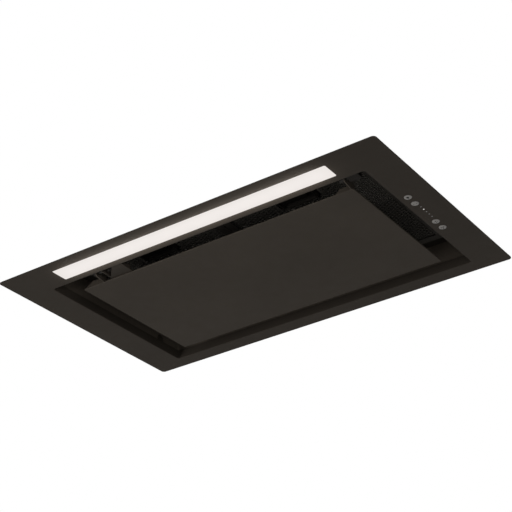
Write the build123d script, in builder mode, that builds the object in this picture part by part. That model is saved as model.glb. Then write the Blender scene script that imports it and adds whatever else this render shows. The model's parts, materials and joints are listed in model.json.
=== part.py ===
from build123d import *
from math import cos, exp, log, pi, radians, sin
import os

# Built-in range hood, in millimetres.
# The origin is the centre of the cabinet's cut-out, in the plane where the flange's seal meets the cabinet.
# +Z points up into the cabinet, -Y is the front edge with the light, +X is the end with the buttons.

os.makedirs("parts", exist_ok=True)

# Face plate
face_w = 520.0
face_d = 320.0
face_corner_r = 4.5
sheet_t = 0.8
seal_t = 2.2
seal_w = 5.0
seal_inset = 4.0
face_z = -(sheet_t + seal_t)
back_z = face_z + sheet_t

# Opening in the face, its margins measured from the near and far edges
open_w = 435.4
open_near = 50.9
open_far = 21.5
open_d = face_d - open_near - open_far
open_y = (open_near - open_far) / 2
open_r = 3.0
open_near_y = open_y - open_d / 2
open_far_y = open_y + open_d / 2
lip_h = 12.0
bend_r = 0.8

# Light strip
light_w = 379.4
light_d = 24.3
light_near = 16.7
light_r = 1.5
light_y = -face_d / 2 + light_near + light_d / 2
light_fit = 0.15
light_flange = 2.8
light_flange_t = 1.2
tray_t = 1.0
tray_h = 14.0
tray_fit = 0.3
led_board_w = 372.0
led_board_d = 12.0
led_board_t = 1.6
led_count = 24
led_pitch = 15.0
led_size = (5.0, 4.0, 1.0)

# Push buttons and indicator windows
button_x = 228.5
button_y = 5.3
button_pitch = 16.0
button_places = (-2.5, -1.5, 1.5, 2.5)
button_names = ("light_button", "slower_button", "faster_button", "boost_button")
button_r = 4.4
button_proud = 0.7
button_gap = 0.3
button_flange_r = 5.6
button_flange_t = 1.0
button_stem_r = 1.6
button_travel = 0.8
indicator_count = 5
indicator_out = 1.8
indicator_near = 1.1
indicator_pitch = 6.4
indicator_r = 0.9
indicator_flange_r = 1.6
indicator_fit = 0.05
indicator_top = 7.0

# Control housing
control_w = 17.0
control_d = 104.0
control_h = 15.0
control_wall = 1.2
control_r = 1.5
control_board_h = 9.4
control_board_t = 1.6
control_board_gap = 0.3
control_post_r = 2.2
switch_side = 6.0
switch_h = 3.4
stem_entry = 1.6
stem_spare = 0.2

# Canopy shell: it clears the control housing at its sides and the light tray at its front
shell_side_gap = 2.0
shell_front_gap = 0.6
shell_top = 92.0
shell_t = 1.0
shell_r = 3.0
shell_flange = 9.0
stud_r = 1.5
stud_gap = 0.2
stud_x_in = 4.5
stud_pitch_y = 100.0
nut_flat = 5.5
nut_h = 2.4

# Side screw holes, and the wider holes in the recess wall that let a screwdriver through
side_hole_r = 2.5
side_hole_z = 12.0
side_hole_pitch = 200.0
access_r = 6.0

# Side springs
side_spring_w = 24.0
side_spring_t = 0.8
side_spring_pitch = 120.0
side_spring_top = 62.0
side_spring_root = 36.0
side_spring_crest_z = 14.0
side_spring_foot_z = 6.0
side_spring_crest = 8.0
side_spring_foot = 3.0

# Recess walls and filter deck
liner_t = 0.8
liner_fit = 0.1
deck_z = 36.0
deck_t = 1.0
deck_fit = 0.1
ledge_w = 18.0

# Suction panel
panel_gap_x = 27.7
panel_gap_y = 23.4
panel_w = open_w - 2 * panel_gap_x
panel_d = open_d - 2 * panel_gap_y
panel_t = 1.2
panel_r = 2.0
panel_edge_r = 0.9
panel_near_y = open_near_y + panel_gap_y
panel_far_y = open_far_y - panel_gap_y
panel_back_z = face_z + panel_t
pan_inset = 16.0
pan_h = 9.5
pan_t = 0.8
pan_r = 5.0

# Panel hinge: the axis lies in the near gap, along X
hinge_fore = 11.3
hinge_h = 8.0
hinge_y = panel_near_y - hinge_fore
hinge_z = face_z + hinge_h
ear_t = 1.5
left_ear_h = 7.7
right_ear_h = 6.0
left_ear_x = -187.0
left_ear_w = 29.0
left_ear_outer_cut = 10.6
left_ear_inner_cut = 5.0
right_ear_x = 168.0
right_ear_cut = 5.0
wing_r = 5.5
wing_web = 4.0
pin_r = 2.0
pin_run = 0.08

# Left hinge lug, a folded bracket on the near lip
lug_x = -146.0
lug_w = 31.0
lug_t = 1.5
lug_panel_gap = 0.4
lug_floor_w = 12.0
lug_floor_reach = 16.0
lug_reach = 9.0
lug_top_h = 14.0

# Release pin
release_travel = 6.0
release_spare = 0.5
release_tail = 3.0
knob_r = 3.1
knob_w = 3.0
knob_clear = 1.5
release_spring_r = 3.0
release_spring_bore = 2.3

# Right hinge lug, a moulded block in the corner of the recess
block_gap = 1.5
block_w = 14.0
block_floor_h = 4.5
block_top_h = 13.0
block_reach = 4.5
right_pin_in = 6.0
right_pin_out = 9.0

# Magnets that hold the panel shut
magnet_x = 150.0
magnet_side = 9.0
magnet_t = 4.0
magnet_gap = 0.3
magnet_from_far = 8.0
holder_w = 16.0
holder_side = 13.0
holder_wall = 5.0
holder_pad_t = 3.0
holder_pad_d = 12.0
holder_toe_h = 13.0

# Grease filters
filter_count = 2
filter_fit = 0.7
filter_low = 5.0
filter_high = 4.0
filter_rail = 10.0
filter_rail_t = 1.0
filter_r = 4.0
mesh_tuck = 6.0
tab_w = 26.0
tab_d = 8.0
tab_t = 1.2
tab_x = 55.0
pocket_w = 46.0
pocket_d = 34.0
pocket_t = 1.5
latch_w = 26.0
latch_t = 1.8
latch_over = 5.0
latch_travel = 6.5
latch_gap = 0.3
latch_neck_w = 8.0
latch_neck_d = 6.0
latch_neck_from_rail = 6.0
grip_w = 34.0
grip_d = 16.0
grip_t = 2.5
latch_spring_r = 1.0
latch_spring_bore = 0.5

# Motor casing on top of the shell
casing_w = 320.0
casing_d = 262.0
casing_top = 246.0
casing_t = 1.0
casing_r = 4.0
casing_flange = 12.0
outlet_plate_t = 1.2
screw_r = 1.9
screw_fit = 0.2
screw_head_r = 3.6
screw_head_h = 2.4
screw_l = 7.0

# Blower
blower_y = -25.0
blower_z = 156.0
wheel_r = 76.0
wheel_ring = 10.0
wheel_w = 112.0
wheel_ring_t = 2.0
blade_count = 36
blade_t = 0.9
hub_r = 13.0
hub_w = 24.0
scroll_start_r = 84.0
scroll_end_r = 118.0
scroll_start_deg = 75.0
scroll_points = 13
scroll_wall = 1.6
scroll_half_w = 62.0
inlet_r = 62.0
inlet_lip = 4.0

# Motor
shaft_r = 4.0
shaft_left = -16.0
shaft_right = 101.0
motor_r = 46.0
motor_x0 = 24.0
motor_x1 = 96.0
motor_edge_r = 6.0
motor_bore_r = 5.0
bearing_r = 9.0
bearing_w = 6.0
bearing_fit = 0.03
bracket_ring = 5.0
bracket_t = 3.0
bracket_arm_w = 14.0
bracket_hole_at = 71.0
bracket_reach = 79.0
bush_r = 7.0
bush_neck_r = 4.0
bush_flange = 2.0
bush_fit = 0.2
capacitor_r = 15.0
capacitor_l = 52.0
capacitor_y = -96.0
capacitor_z = 112.0
capacitor_off_wall = 4.0
capacitor_edge_r = 2.0

# Outlet collar and its two flaps
outlet_y = blower_y + (scroll_start_r * cos(radians(scroll_start_deg)) + scroll_end_r) / 2
collar_r = 74.5
collar_wall = 2.5
collar_flange_r = 92.0
collar_flange_t = 3.0
collar_h = 45.0
stop_w = 4.0
stop_t = 3.0
flap_axis_h = 15.0
flap_t = 1.5
flap_drop = 3.0
flap_gap = 1.5
flap_part = 0.5
flap_seat = 0.2
flap_pin_r = 1.5
flap_pin_run = 0.06
knuckle_r = 3.0
knuckle_clear = 0.7
boss_clear = 1.6
flap_pin_end = 0.5

# Electrics box on the right of the casing
box_gap = 2.0
box_w = 62.0
box_d = 150.0
box_h = 38.0
box_wall = 2.0
box_r = 3.0
lid_t = 2.0
lid_lip_h = 3.0
lid_fit = 0.25
board_h = 8.0
board_t = 1.6
board_in = 3.0
board_d = 92.0
gland_r = 9.0
gland_bore_r = 4.2
gland_out = 12.0
gland_in = 4.0
gland_neck_r = 6.0
gland_fit = 0.1
gland_z = 20.0
driver_size = (36.0, 30.0, 22.0)
terminal_size = (40.0, 16.0, 14.0)


def rounded_ring(width, depth, corner, wall):
    """A rounded rectangle with an even wall, drawn in the sketch that is open."""
    RectangleRounded(width, depth, corner)
    RectangleRounded(width - 2 * wall, depth - 2 * wall, max(corner - wall, 0.3), mode=Mode.SUBTRACT)


def at_height(shape_edges, height):
    """The edges that lie in one level plane."""
    return shape_edges.filter_by_position(Axis.Z, height - 0.001, height + 0.001)


# Sizes that follow from the ones above
tray_w = light_w + 2 * (light_flange + tray_fit + tray_t)
tray_d = light_d + 2 * (light_flange + tray_fit + tray_t)
shell_w = 2 * (button_x + control_w / 2 + shell_side_gap + shell_t)
shell_d = 2 * (tray_d / 2 - light_y + shell_front_gap + shell_t)

# Places that repeat
button_spots = [(button_x, button_y + place * button_pitch) for place in button_places]
indicator_first = -(indicator_count - 1) / 2
indicator_x = button_x + indicator_out
indicator_y = button_y - indicator_near
indicator_spots = [
    (indicator_x, indicator_y + (indicator_first + number) * indicator_pitch)
    for number in range(indicator_count)
]
stud_x = shell_w / 2 + stud_x_in
stud_spots = [(side * stud_x, row * stud_pitch_y) for side in (-1, 1) for row in (-1, 0, 1)]
side_hole_rows = [-side_hole_pitch / 2, side_hole_pitch / 2]

# Face plate: one sheet with a window, an opening with bent-up lips, and welded studs
with BuildPart() as face_plate:
    with BuildSketch(Plane.XY.offset(face_z)):
        RectangleRounded(face_w, face_d, face_corner_r)
        with Locations((0, open_y)):
            RectangleRounded(open_w, open_d, open_r, mode=Mode.SUBTRACT)
        with Locations((0, light_y)):
            RectangleRounded(light_w, light_d, light_r, mode=Mode.SUBTRACT)
        with Locations(*button_spots):
            Circle(button_r + button_gap, mode=Mode.SUBTRACT)
        with Locations(*indicator_spots):
            Circle(indicator_r + indicator_fit, mode=Mode.SUBTRACT)
    extrude(amount=sheet_t)
    with BuildSketch(Plane.XY.offset(back_z)):
        with Locations((0, open_y)):
            rounded_ring(open_w + 2 * sheet_t, open_d + 2 * sheet_t, open_r + sheet_t, sheet_t)
    extrude(amount=lip_h - sheet_t)
    opening_edges = at_height(face_plate.edges(), face_z).filter_by(
        lambda edge: abs(edge.center().X) < open_w / 2 + 0.01
        and open_near_y - 0.01 < edge.center().Y < open_far_y + 0.01
        and edge.center().Y > light_y + light_d / 2 + 1
    )
    fillet(opening_edges, radius=bend_r)
    with BuildSketch(Plane.XY.offset(back_z)):
        with Locations(*stud_spots):
            Circle(stud_r)
    extrude(amount=shell_t + nut_h + 1)
face_plate.part.label = "face_plate"
export_step(face_plate.part, "parts/face_plate.step")

# Foam seal on the flange
with BuildPart() as flange_seal:
    with BuildSketch(Plane.XY.offset(back_z)):
        rounded_ring(face_w - 2 * seal_inset, face_d - 2 * seal_inset, face_corner_r, seal_w)
    extrude(amount=seal_t)
flange_seal.part.label = "flange_seal"
export_step(flange_seal.part, "parts/flange_seal.step")

# Canopy shell: walls, out-turned side flanges, and a top with the casing's aperture
casing_gap_w = casing_w - 2 * casing_flange
casing_gap_d = casing_d - 2 * casing_flange
casing_rows = (-1, 0, 1)
casing_foot_x = casing_w / 2 + casing_flange / 2
casing_foot_y = casing_d / 2 + casing_flange / 2
casing_foot_spots = [(side * casing_foot_x, row * casing_d * 0.4) for side in (-1, 1) for row in casing_rows]
casing_foot_spots += [(row * casing_w * 0.4, side * casing_foot_y) for side in (-1, 1) for row in casing_rows]
with BuildPart() as canopy_shell:
    with BuildSketch(Plane.XY.offset(back_z)):
        rounded_ring(shell_w, shell_d, shell_r, shell_t)
    extrude(amount=shell_top - back_z)
    with BuildSketch(Plane.XY.offset(shell_top - shell_t)):
        RectangleRounded(shell_w, shell_d, shell_r)
        RectangleRounded(casing_gap_w, casing_gap_d, casing_r, mode=Mode.SUBTRACT)
        with Locations(*casing_foot_spots):
            Circle(screw_r + screw_fit, mode=Mode.SUBTRACT)
    extrude(amount=shell_t)
    with BuildSketch(Plane.XY.offset(back_z)):
        for side in (-1, 1):
            with Locations((side * (shell_w + shell_flange) / 2, 0)):
                Rectangle(shell_flange, shell_d - 4 * shell_r)
        with Locations(*stud_spots):
            Circle(stud_r + stud_gap, mode=Mode.SUBTRACT)
    extrude(amount=shell_t)
    with BuildSketch(Plane.YZ.offset(-shell_w)):
        with Locations(*[(row, side_hole_z) for row in side_hole_rows]):
            Circle(side_hole_r)
    extrude(amount=2 * shell_w, mode=Mode.SUBTRACT)
canopy_shell.part.label = "canopy_shell"
export_step(canopy_shell.part, "parts/canopy_shell.step")

# Nuts on the studs
with BuildPart() as frame_nuts:
    with BuildSketch(Plane.XY.offset(back_z + shell_t)):
        with Locations(*stud_spots):
            RegularPolygon(nut_flat / 2, 6, major_radius=False)
            Circle(stud_r + stud_gap / 2, mode=Mode.SUBTRACT)
    extrude(amount=nut_h)
frame_nuts.part.label = "frame_nuts"
export_step(frame_nuts.part, "parts/frame_nuts.step")

# Leaf springs that press on the sides of the cabinet's cut-out
with BuildPart() as side_springs:
    for side in (-1, 1):
        for row in (-1, 1):
            wall_x = side * shell_w / 2
            leaf_plane = Plane.XZ.offset(-row * side_spring_pitch / 2)
            with BuildSketch(leaf_plane):
                with BuildLine():
                    Polyline(
                        (wall_x, side_spring_top),
                        (wall_x, side_spring_root),
                        (wall_x + side * side_spring_crest, side_spring_crest_z),
                        (wall_x + side * side_spring_foot, side_spring_foot_z),
                        (wall_x + side * (side_spring_foot + side_spring_t), side_spring_foot_z),
                        (wall_x + side * (side_spring_crest + side_spring_t), side_spring_crest_z),
                        (wall_x + side * side_spring_t, side_spring_root + side_spring_t),
                        (wall_x + side * side_spring_t, side_spring_top),
                        close=True,
                    )
                make_face()
            extrude(amount=side_spring_w / 2, both=True)
side_springs.part.label = "side_springs"
export_step(side_springs.part, "parts/side_springs.step")

# Recess walls round the opening, standing on the face plate's back
liner_w = open_w + 2 * (sheet_t + liner_fit + liner_t)
liner_d = open_d + 2 * (sheet_t + liner_fit + liner_t)
liner_r = open_r + sheet_t + liner_fit + liner_t
with BuildPart() as recess_walls:
    with BuildSketch(Plane.XY.offset(back_z)):
        with Locations((0, open_y)):
            rounded_ring(liner_w, liner_d, liner_r, liner_t)
    extrude(amount=deck_z - back_z)
    with BuildSketch(Plane.YZ.offset(-shell_w)):
        with Locations(*[(row, side_hole_z) for row in side_hole_rows]):
            Circle(access_r)
    extrude(amount=2 * shell_w, mode=Mode.SUBTRACT)
recess_walls.part.label = "recess_walls"
export_step(recess_walls.part, "parts/recess_walls.step")

# Filter deck: closes the space over the light and the controls, and carries the filters on its ledge
aperture_w = open_w - 2 * ledge_w
aperture_d = open_d - 2 * ledge_w
deck_w = shell_w - 2 * (shell_t + deck_fit)
deck_d = shell_d - 2 * (shell_t + deck_fit)
with BuildPart() as filter_deck:
    with BuildSketch(Plane.XY.offset(deck_z)):
        RectangleRounded(deck_w, deck_d, shell_r - shell_t)
        with Locations((0, open_y)):
            RectangleRounded(aperture_w, aperture_d, filter_r, mode=Mode.SUBTRACT)
    extrude(amount=deck_t)
    with BuildSketch(Plane.XY.offset(deck_z + deck_t)):
        rounded_ring(deck_w, deck_d, shell_r - shell_t, shell_t)
    extrude(amount=filter_low * 2)
filter_deck.part.label = "filter_deck"
export_step(filter_deck.part, "parts/filter_deck.step")

# Light diffuser, flush in its window, with a flange behind the sheet
with BuildPart() as light_diffuser:
    with BuildSketch(Plane.XY.offset(face_z)):
        with Locations((0, light_y)):
            RectangleRounded(light_w - 2 * light_fit, light_d - 2 * light_fit, light_r)
    extrude(amount=sheet_t)
    with BuildSketch(Plane.XY.offset(back_z)):
        with Locations((0, light_y)):
            RectangleRounded(light_w + 2 * light_flange, light_d + 2 * light_flange, light_r)
    extrude(amount=light_flange_t)
light_diffuser.part.label = "light_diffuser"
export_step(light_diffuser.part, "parts/light_diffuser.step")

# Light tray over the diffuser
tray_ceiling = back_z + tray_h - tray_t
with BuildPart() as light_tray:
    with BuildSketch(Plane.XY.offset(back_z)):
        with Locations((0, light_y)):
            rounded_ring(tray_w, tray_d, light_r + tray_t, tray_t)
    extrude(amount=tray_h - tray_t)
    with BuildSketch(Plane.XY.offset(tray_ceiling)):
        with Locations((0, light_y)):
            RectangleRounded(tray_w, tray_d, light_r + tray_t)
    extrude(amount=tray_t)
light_tray.part.label = "light_tray"
export_step(light_tray.part, "parts/light_tray.step")

# LED board under the tray's ceiling, and its LEDs
led_top_z = tray_ceiling - led_board_t
with BuildPart() as led_board:
    with BuildSketch(Plane.XY.offset(led_top_z)):
        with Locations((0, light_y)):
            Rectangle(led_board_w, led_board_d)
    extrude(amount=led_board_t)
led_board.part.label = "led_board"
export_step(led_board.part, "parts/led_board.step")

with BuildPart() as led_chips:
    with BuildSketch(Plane.XY.offset(led_top_z - led_size[2])):
        with Locations((0, light_y)):
            with GridLocations(led_pitch, 0, led_count, 1):
                Rectangle(led_size[0], led_size[1])
    extrude(amount=led_size[2])
led_chips.part.label = "led_chips"
export_step(led_chips.part, "parts/led_chips.step")

# Control housing behind the buttons
housing_floor = back_z + control_wall
board_z = face_z + control_board_h
board_off = control_wall + control_board_gap
post_off = control_d / 2 - control_wall - control_post_r
post_spots = [(button_x, button_y + side * post_off) for side in (-1, 1)]
with BuildPart() as control_housing:
    with BuildSketch(Plane.XY.offset(back_z)):
        with Locations((button_x, button_y)):
            RectangleRounded(control_w, control_d, control_r)
        with Locations(*button_spots):
            Circle(button_r + button_gap, mode=Mode.SUBTRACT)
        with Locations(*indicator_spots):
            Circle(indicator_r + indicator_fit, mode=Mode.SUBTRACT)
    extrude(amount=control_wall)
    with BuildSketch(Plane.XY.offset(housing_floor)):
        with Locations((button_x, button_y)):
            rounded_ring(control_w, control_d, control_r, control_wall)
    extrude(amount=control_h - control_wall)
    with BuildSketch(Plane.XY.offset(housing_floor)):
        with Locations(*post_spots):
            Circle(control_post_r)
    extrude(amount=board_z - housing_floor)
control_housing.part.label = "control_housing"
export_step(control_housing.part, "parts/control_housing.step")

# Control board, and the switches under it
with BuildPart() as control_board:
    with BuildSketch(Plane.XY.offset(board_z)):
        with Locations((button_x, button_y)):
            Rectangle(control_w - 2 * board_off, control_d - 2 * board_off)
    extrude(amount=control_board_t)
control_board.part.label = "control_board"
export_step(control_board.part, "parts/control_board.step")

with BuildPart() as switches:
    with BuildSketch(Plane.XY.offset(board_z - switch_h)):
        with Locations(*button_spots):
            Rectangle(switch_side, switch_side)
    extrude(amount=switch_h)
    with BuildSketch(Plane.XY.offset(board_z - switch_h)):
        with Locations(*button_spots):
            Circle(button_stem_r + button_gap)
    extrude(amount=stem_entry + button_travel + stem_spare, mode=Mode.SUBTRACT)
switches.part.label = "switches"
export_step(switches.part, "parts/switches.step")

# Indicator light pipes
with BuildPart() as indicator_pipes:
    with BuildSketch(Plane.XY.offset(face_z)):
        with Locations(*indicator_spots):
            Circle(indicator_r)
    extrude(amount=indicator_top)
    with BuildSketch(Plane.XY.offset(housing_floor)):
        with Locations(*indicator_spots):
            Circle(indicator_flange_r)
    extrude(amount=button_flange_t)
indicator_pipes.part.label = "indicator_pipes"
export_step(indicator_pipes.part, "parts/indicator_pipes.step")

# Buttons: a round cap through the face, a flange that rests on the housing's floor, a stem into the switch
stem_top = board_z - switch_h + stem_entry
for name, spot in zip(button_names, button_spots):
    with BuildPart() as button:
        with BuildSketch(Plane.XY.offset(face_z - button_proud)):
            with Locations(spot):
                Circle(button_r)
        extrude(amount=button_proud + housing_floor - face_z)
        fillet(at_height(button.edges(), face_z - button_proud), radius=button_proud * 0.8)
        with BuildSketch(Plane.XY.offset(housing_floor)):
            with Locations(spot):
                Circle(button_flange_r)
        extrude(amount=button_flange_t)
        with BuildSketch(Plane.XY.offset(housing_floor + button_flange_t)):
            with Locations(spot):
                Circle(button_stem_r)
        extrude(amount=stem_top - housing_floor - button_flange_t)
    button.part.label = name
    export_step(button.part, f"parts/{name}.step")

# Suction panel: a flat sheet with two ears at its near edge, each with a wing that carries the hinge
left_wing_x = left_ear_x + left_ear_w - ear_t
right_wing_x = panel_w / 2 - ear_t
right_ear_w = panel_w / 2 - right_ear_x
with BuildPart() as suction_panel:
    with BuildSketch(Plane.XY.offset(face_z)):
        with Locations((0, open_y)):
            RectangleRounded(panel_w, panel_d, panel_r)
    extrude(amount=panel_t)
    fillet(at_height(suction_panel.edges(), face_z), radius=panel_edge_r)
    with BuildSketch(Plane.XZ.offset(-panel_near_y)):
        with BuildLine():
            Polyline(
                (left_ear_x, face_z + panel_edge_r),
                (left_ear_x + left_ear_w, face_z + panel_edge_r),
                (left_ear_x + left_ear_w, panel_back_z),
                (left_ear_x + left_ear_w - left_ear_inner_cut, face_z + left_ear_h),
                (left_ear_x + left_ear_outer_cut, face_z + left_ear_h),
                (left_ear_x, panel_back_z),
                close=True,
            )
        make_face()
        with BuildLine():
            Polyline(
                (right_ear_x, face_z + panel_edge_r),
                (right_ear_x + right_ear_w - panel_r, face_z + panel_edge_r),
                (right_ear_x + right_ear_w - panel_r, face_z + right_ear_h),
                (right_ear_x + right_ear_cut, face_z + right_ear_h),
                (right_ear_x, panel_back_z),
                close=True,
            )
        make_face()
    extrude(amount=-ear_t)
    for wing_x in (left_wing_x, right_wing_x - panel_r):
        with BuildSketch(Plane.YZ.offset(wing_x)):
            with Locations((hinge_y, hinge_z)):
                Circle(wing_r)
            with BuildLine():
                Polyline(
                    (hinge_y, hinge_z + wing_r),
                    (panel_near_y + ear_t + wing_web, hinge_z + wing_r - wing_web),
                    (panel_near_y + ear_t + 2 * wing_web, panel_back_z - panel_t / 2),
                    (panel_near_y + panel_edge_r, panel_back_z - panel_t / 2),
                    (hinge_y, hinge_z - wing_r),
                    close=True,
                )
            make_face()
            with Locations((hinge_y, hinge_z)):
                Circle(pin_r + pin_run, mode=Mode.SUBTRACT)
        extrude(amount=ear_t)
suction_panel.part.label = "suction_panel"
export_step(suction_panel.part, "parts/suction_panel.step")

# Stiffening pan on the panel's back
with BuildPart() as panel_pan:
    with BuildSketch(Plane.XY.offset(panel_back_z)):
        with Locations((0, open_y)):
            rounded_ring(panel_w - 2 * pan_inset, panel_d - 2 * pan_inset, pan_r, pan_t)
    extrude(amount=pan_h)
    with BuildSketch(Plane.XY.offset(panel_back_z + pan_h - pan_t)):
        with Locations((0, open_y)):
            RectangleRounded(panel_w - 2 * pan_inset, panel_d - 2 * pan_inset, pan_r)
    extrude(amount=pan_t)
panel_pan.part.label = "panel_pan"
export_step(panel_pan.part, "parts/panel_pan.step")

# Left hinge lug: two cheeks, a back plate, and a floor cut aslant that leaves the knob in reach
lug_back_y = open_near_y
lug_front_y = hinge_y + lug_reach
lug_floor_y = hinge_y + lug_floor_reach
lug_floor_z = panel_back_z + lug_panel_gap
lug_top_z = face_z + lug_top_h
with BuildPart() as left_hinge_lug:
    with BuildSketch(Plane.XY.offset(lug_floor_z)):
        with BuildLine():
            Polyline(
                (lug_x + lug_w, lug_back_y),
                (lug_x + lug_w, lug_floor_y),
                (lug_x, lug_floor_y),
                (lug_x, lug_front_y),
                (lug_x + lug_w - lug_floor_w, lug_back_y),
                close=True,
            )
        make_face()
    extrude(amount=lug_t)
    for cheek_x in (lug_x, lug_x + lug_w - lug_t):
        with BuildSketch(Plane.YZ.offset(cheek_x)):
            with BuildLine():
                Polyline(
                    (lug_back_y, lug_floor_z),
                    (lug_front_y, lug_floor_z),
                    (lug_front_y, lug_floor_z + lug_t),
                    (hinge_y + lug_reach / 2, lug_top_z),
                    (lug_back_y, lug_top_z),
                    close=True,
                )
            make_face()
            with Locations((hinge_y, hinge_z)):
                Circle(pin_r + pin_run, mode=Mode.SUBTRACT)
        extrude(amount=lug_t)
    with BuildSketch(Plane.XZ.offset(-lug_back_y)):
        with Locations((lug_x + lug_w / 2, (lug_floor_z + lug_top_z) / 2)):
            Rectangle(lug_w, lug_top_z - lug_floor_z)
    extrude(amount=-lug_t)
left_hinge_lug.part.label = "left_hinge_lug"
export_step(left_hinge_lug.part, "parts/left_hinge_lug.step")

# Release pin with its knob between the cheeks, and the spring behind the knob
right_cheek_x = lug_x + lug_w - lug_t
knob_x = lug_x + lug_t + knob_clear
spring_x = knob_x + knob_w
release_tip_x = left_wing_x + ear_t + release_spare - release_travel
with BuildPart() as release_pin:
    with BuildSketch(Plane.YZ.offset(release_tip_x)):
        with Locations((hinge_y, hinge_z)):
            Circle(pin_r)
    extrude(amount=right_cheek_x + lug_t + release_tail - release_tip_x)
    with BuildSketch(Plane.YZ.offset(knob_x)):
        with Locations((hinge_y, hinge_z)):
            Circle(knob_r)
    extrude(amount=knob_w)
    pin_ends = release_pin.edges().filter_by(GeomType.CIRCLE).sort_by(Axis.X)
    chamfer([pin_ends[0], pin_ends[-1]], length=pin_r / 4)
release_pin.part.label = "release_pin"
export_step(release_pin.part, "parts/release_pin.step")

with BuildPart() as release_spring:
    with BuildSketch(Plane.YZ.offset(spring_x)):
        with Locations((hinge_y, hinge_z)):
            Circle(release_spring_r)
            Circle(release_spring_bore, mode=Mode.SUBTRACT)
    extrude(amount=right_cheek_x - spring_x)
release_spring.part.label = "release_spring"
export_step(release_spring.part, "parts/release_spring.step")

# Right hinge lug, and the pin fixed in the panel's right wing
block_x = panel_w / 2 + block_gap
block_back_y = open_near_y
with BuildPart() as right_hinge_lug:
    with BuildSketch(Plane.YZ.offset(block_x)):
        with BuildLine():
            Polyline(
                (block_back_y, face_z + block_floor_h),
                (hinge_y + block_reach, face_z + block_floor_h),
                (hinge_y + block_reach, face_z + block_top_h),
                (block_back_y, face_z + block_top_h),
                close=True,
            )
        make_face()
        with Locations((hinge_y, hinge_z)):
            Circle(pin_r + pin_run, mode=Mode.SUBTRACT)
    extrude(amount=block_w)
right_hinge_lug.part.label = "right_hinge_lug"
export_step(right_hinge_lug.part, "parts/right_hinge_lug.step")

right_wing_face = right_wing_x - panel_r
with BuildPart() as right_hinge_pin:
    with BuildSketch(Plane.YZ.offset(right_wing_face - right_pin_in)):
        with Locations((hinge_y, hinge_z)):
            Circle(pin_r)
    extrude(amount=block_x + right_pin_out - right_wing_face + right_pin_in)
    with BuildSketch(Plane.YZ.offset(right_wing_face - right_pin_in)):
        with Locations((hinge_y, hinge_z)):
            Circle(knob_r)
    extrude(amount=right_pin_in)
right_hinge_pin.part.label = "right_hinge_pin"
export_step(right_hinge_pin.part, "parts/right_hinge_pin.step")

# Magnets and their holders, hung from the filter deck over the panel's far edge
magnet_y = panel_far_y - magnet_from_far
magnet_z = panel_back_z + magnet_gap
pad_y = open_far_y - holder_pad_d - 1
for side, word in ((-1, "left"), (1, "right")):
    spot_x = side * magnet_x
    with BuildPart() as magnet_holder:
        with BuildSketch(Plane.YZ.offset(spot_x)):
            with BuildLine():
                Polyline(
                    (pad_y, deck_z),
                    (pad_y + holder_pad_d, deck_z),
                    (pad_y + holder_pad_d, deck_z - holder_pad_t),
                    (pad_y + holder_wall, deck_z - holder_pad_t),
                    (pad_y + holder_wall, panel_back_z + holder_toe_h - holder_pad_t),
                    (magnet_y + holder_side / 2, panel_back_z + holder_toe_h - holder_pad_t),
                    (magnet_y + holder_side / 2, magnet_z),
                    (magnet_y - holder_side / 2, magnet_z),
                    (magnet_y - holder_side / 2, panel_back_z + holder_toe_h),
                    (pad_y, panel_back_z + holder_toe_h),
                    close=True,
                )
            make_face()
        extrude(amount=holder_w / 2, both=True)
        with BuildSketch(Plane.XY.offset(magnet_z)):
            with Locations((spot_x, magnet_y)):
                Rectangle(magnet_side, magnet_side)
        extrude(amount=magnet_t, mode=Mode.SUBTRACT)
    magnet_holder.part.label = f"magnet_holder_{word}"
    export_step(magnet_holder.part, f"parts/magnet_holder_{word}.step")

    with BuildPart() as magnet:
        with BuildSketch(Plane.XY.offset(magnet_z)):
            with Locations((spot_x, magnet_y)):
                Rectangle(magnet_side, magnet_side)
        extrude(amount=magnet_t)
    magnet.part.label = f"magnet_{word}"
    export_step(magnet.part, f"parts/magnet_{word}.step")

# Grease filters: frame, mesh, sprung latch and its spring
filter_w = (aperture_w - (filter_count + 1) * filter_fit) / filter_count
filter_d = aperture_d - 2 * filter_fit
filter_z0 = deck_z - filter_low
filter_z1 = deck_z + filter_high
filter_near_y = open_y - filter_d / 2
filter_far_y = open_y + filter_d / 2
deck_top = deck_z + deck_t
rail_in_y = filter_near_y + filter_rail
pocket_y0 = rail_in_y
pocket_y1 = rail_in_y + pocket_d
pocket_z = deck_z - pocket_t
tongue_z0 = deck_top + latch_gap
tongue_tip_y = filter_near_y - filter_fit - latch_over
neck_y0 = rail_in_y + latch_neck_from_rail
neck_y1 = neck_y0 + latch_neck_d
grip_z0 = filter_z0 - grip_t - latch_gap
channel_w = filter_w - 2 * filter_rail_t
channel_d = filter_d - 2 * filter_rail_t
channel_h = filter_z1 - filter_z0 - 2 * filter_rail_t
neck_slot_w = latch_neck_w + 2 * latch_gap
neck_slot_d = latch_neck_d + latch_travel + 2 * latch_gap
mesh_w = filter_w - 2 * (filter_rail - mesh_tuck)
mesh_d = filter_d - 2 * (filter_rail - mesh_tuck)
mesh_cut_y1 = pocket_y1 + filter_rail_t
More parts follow.
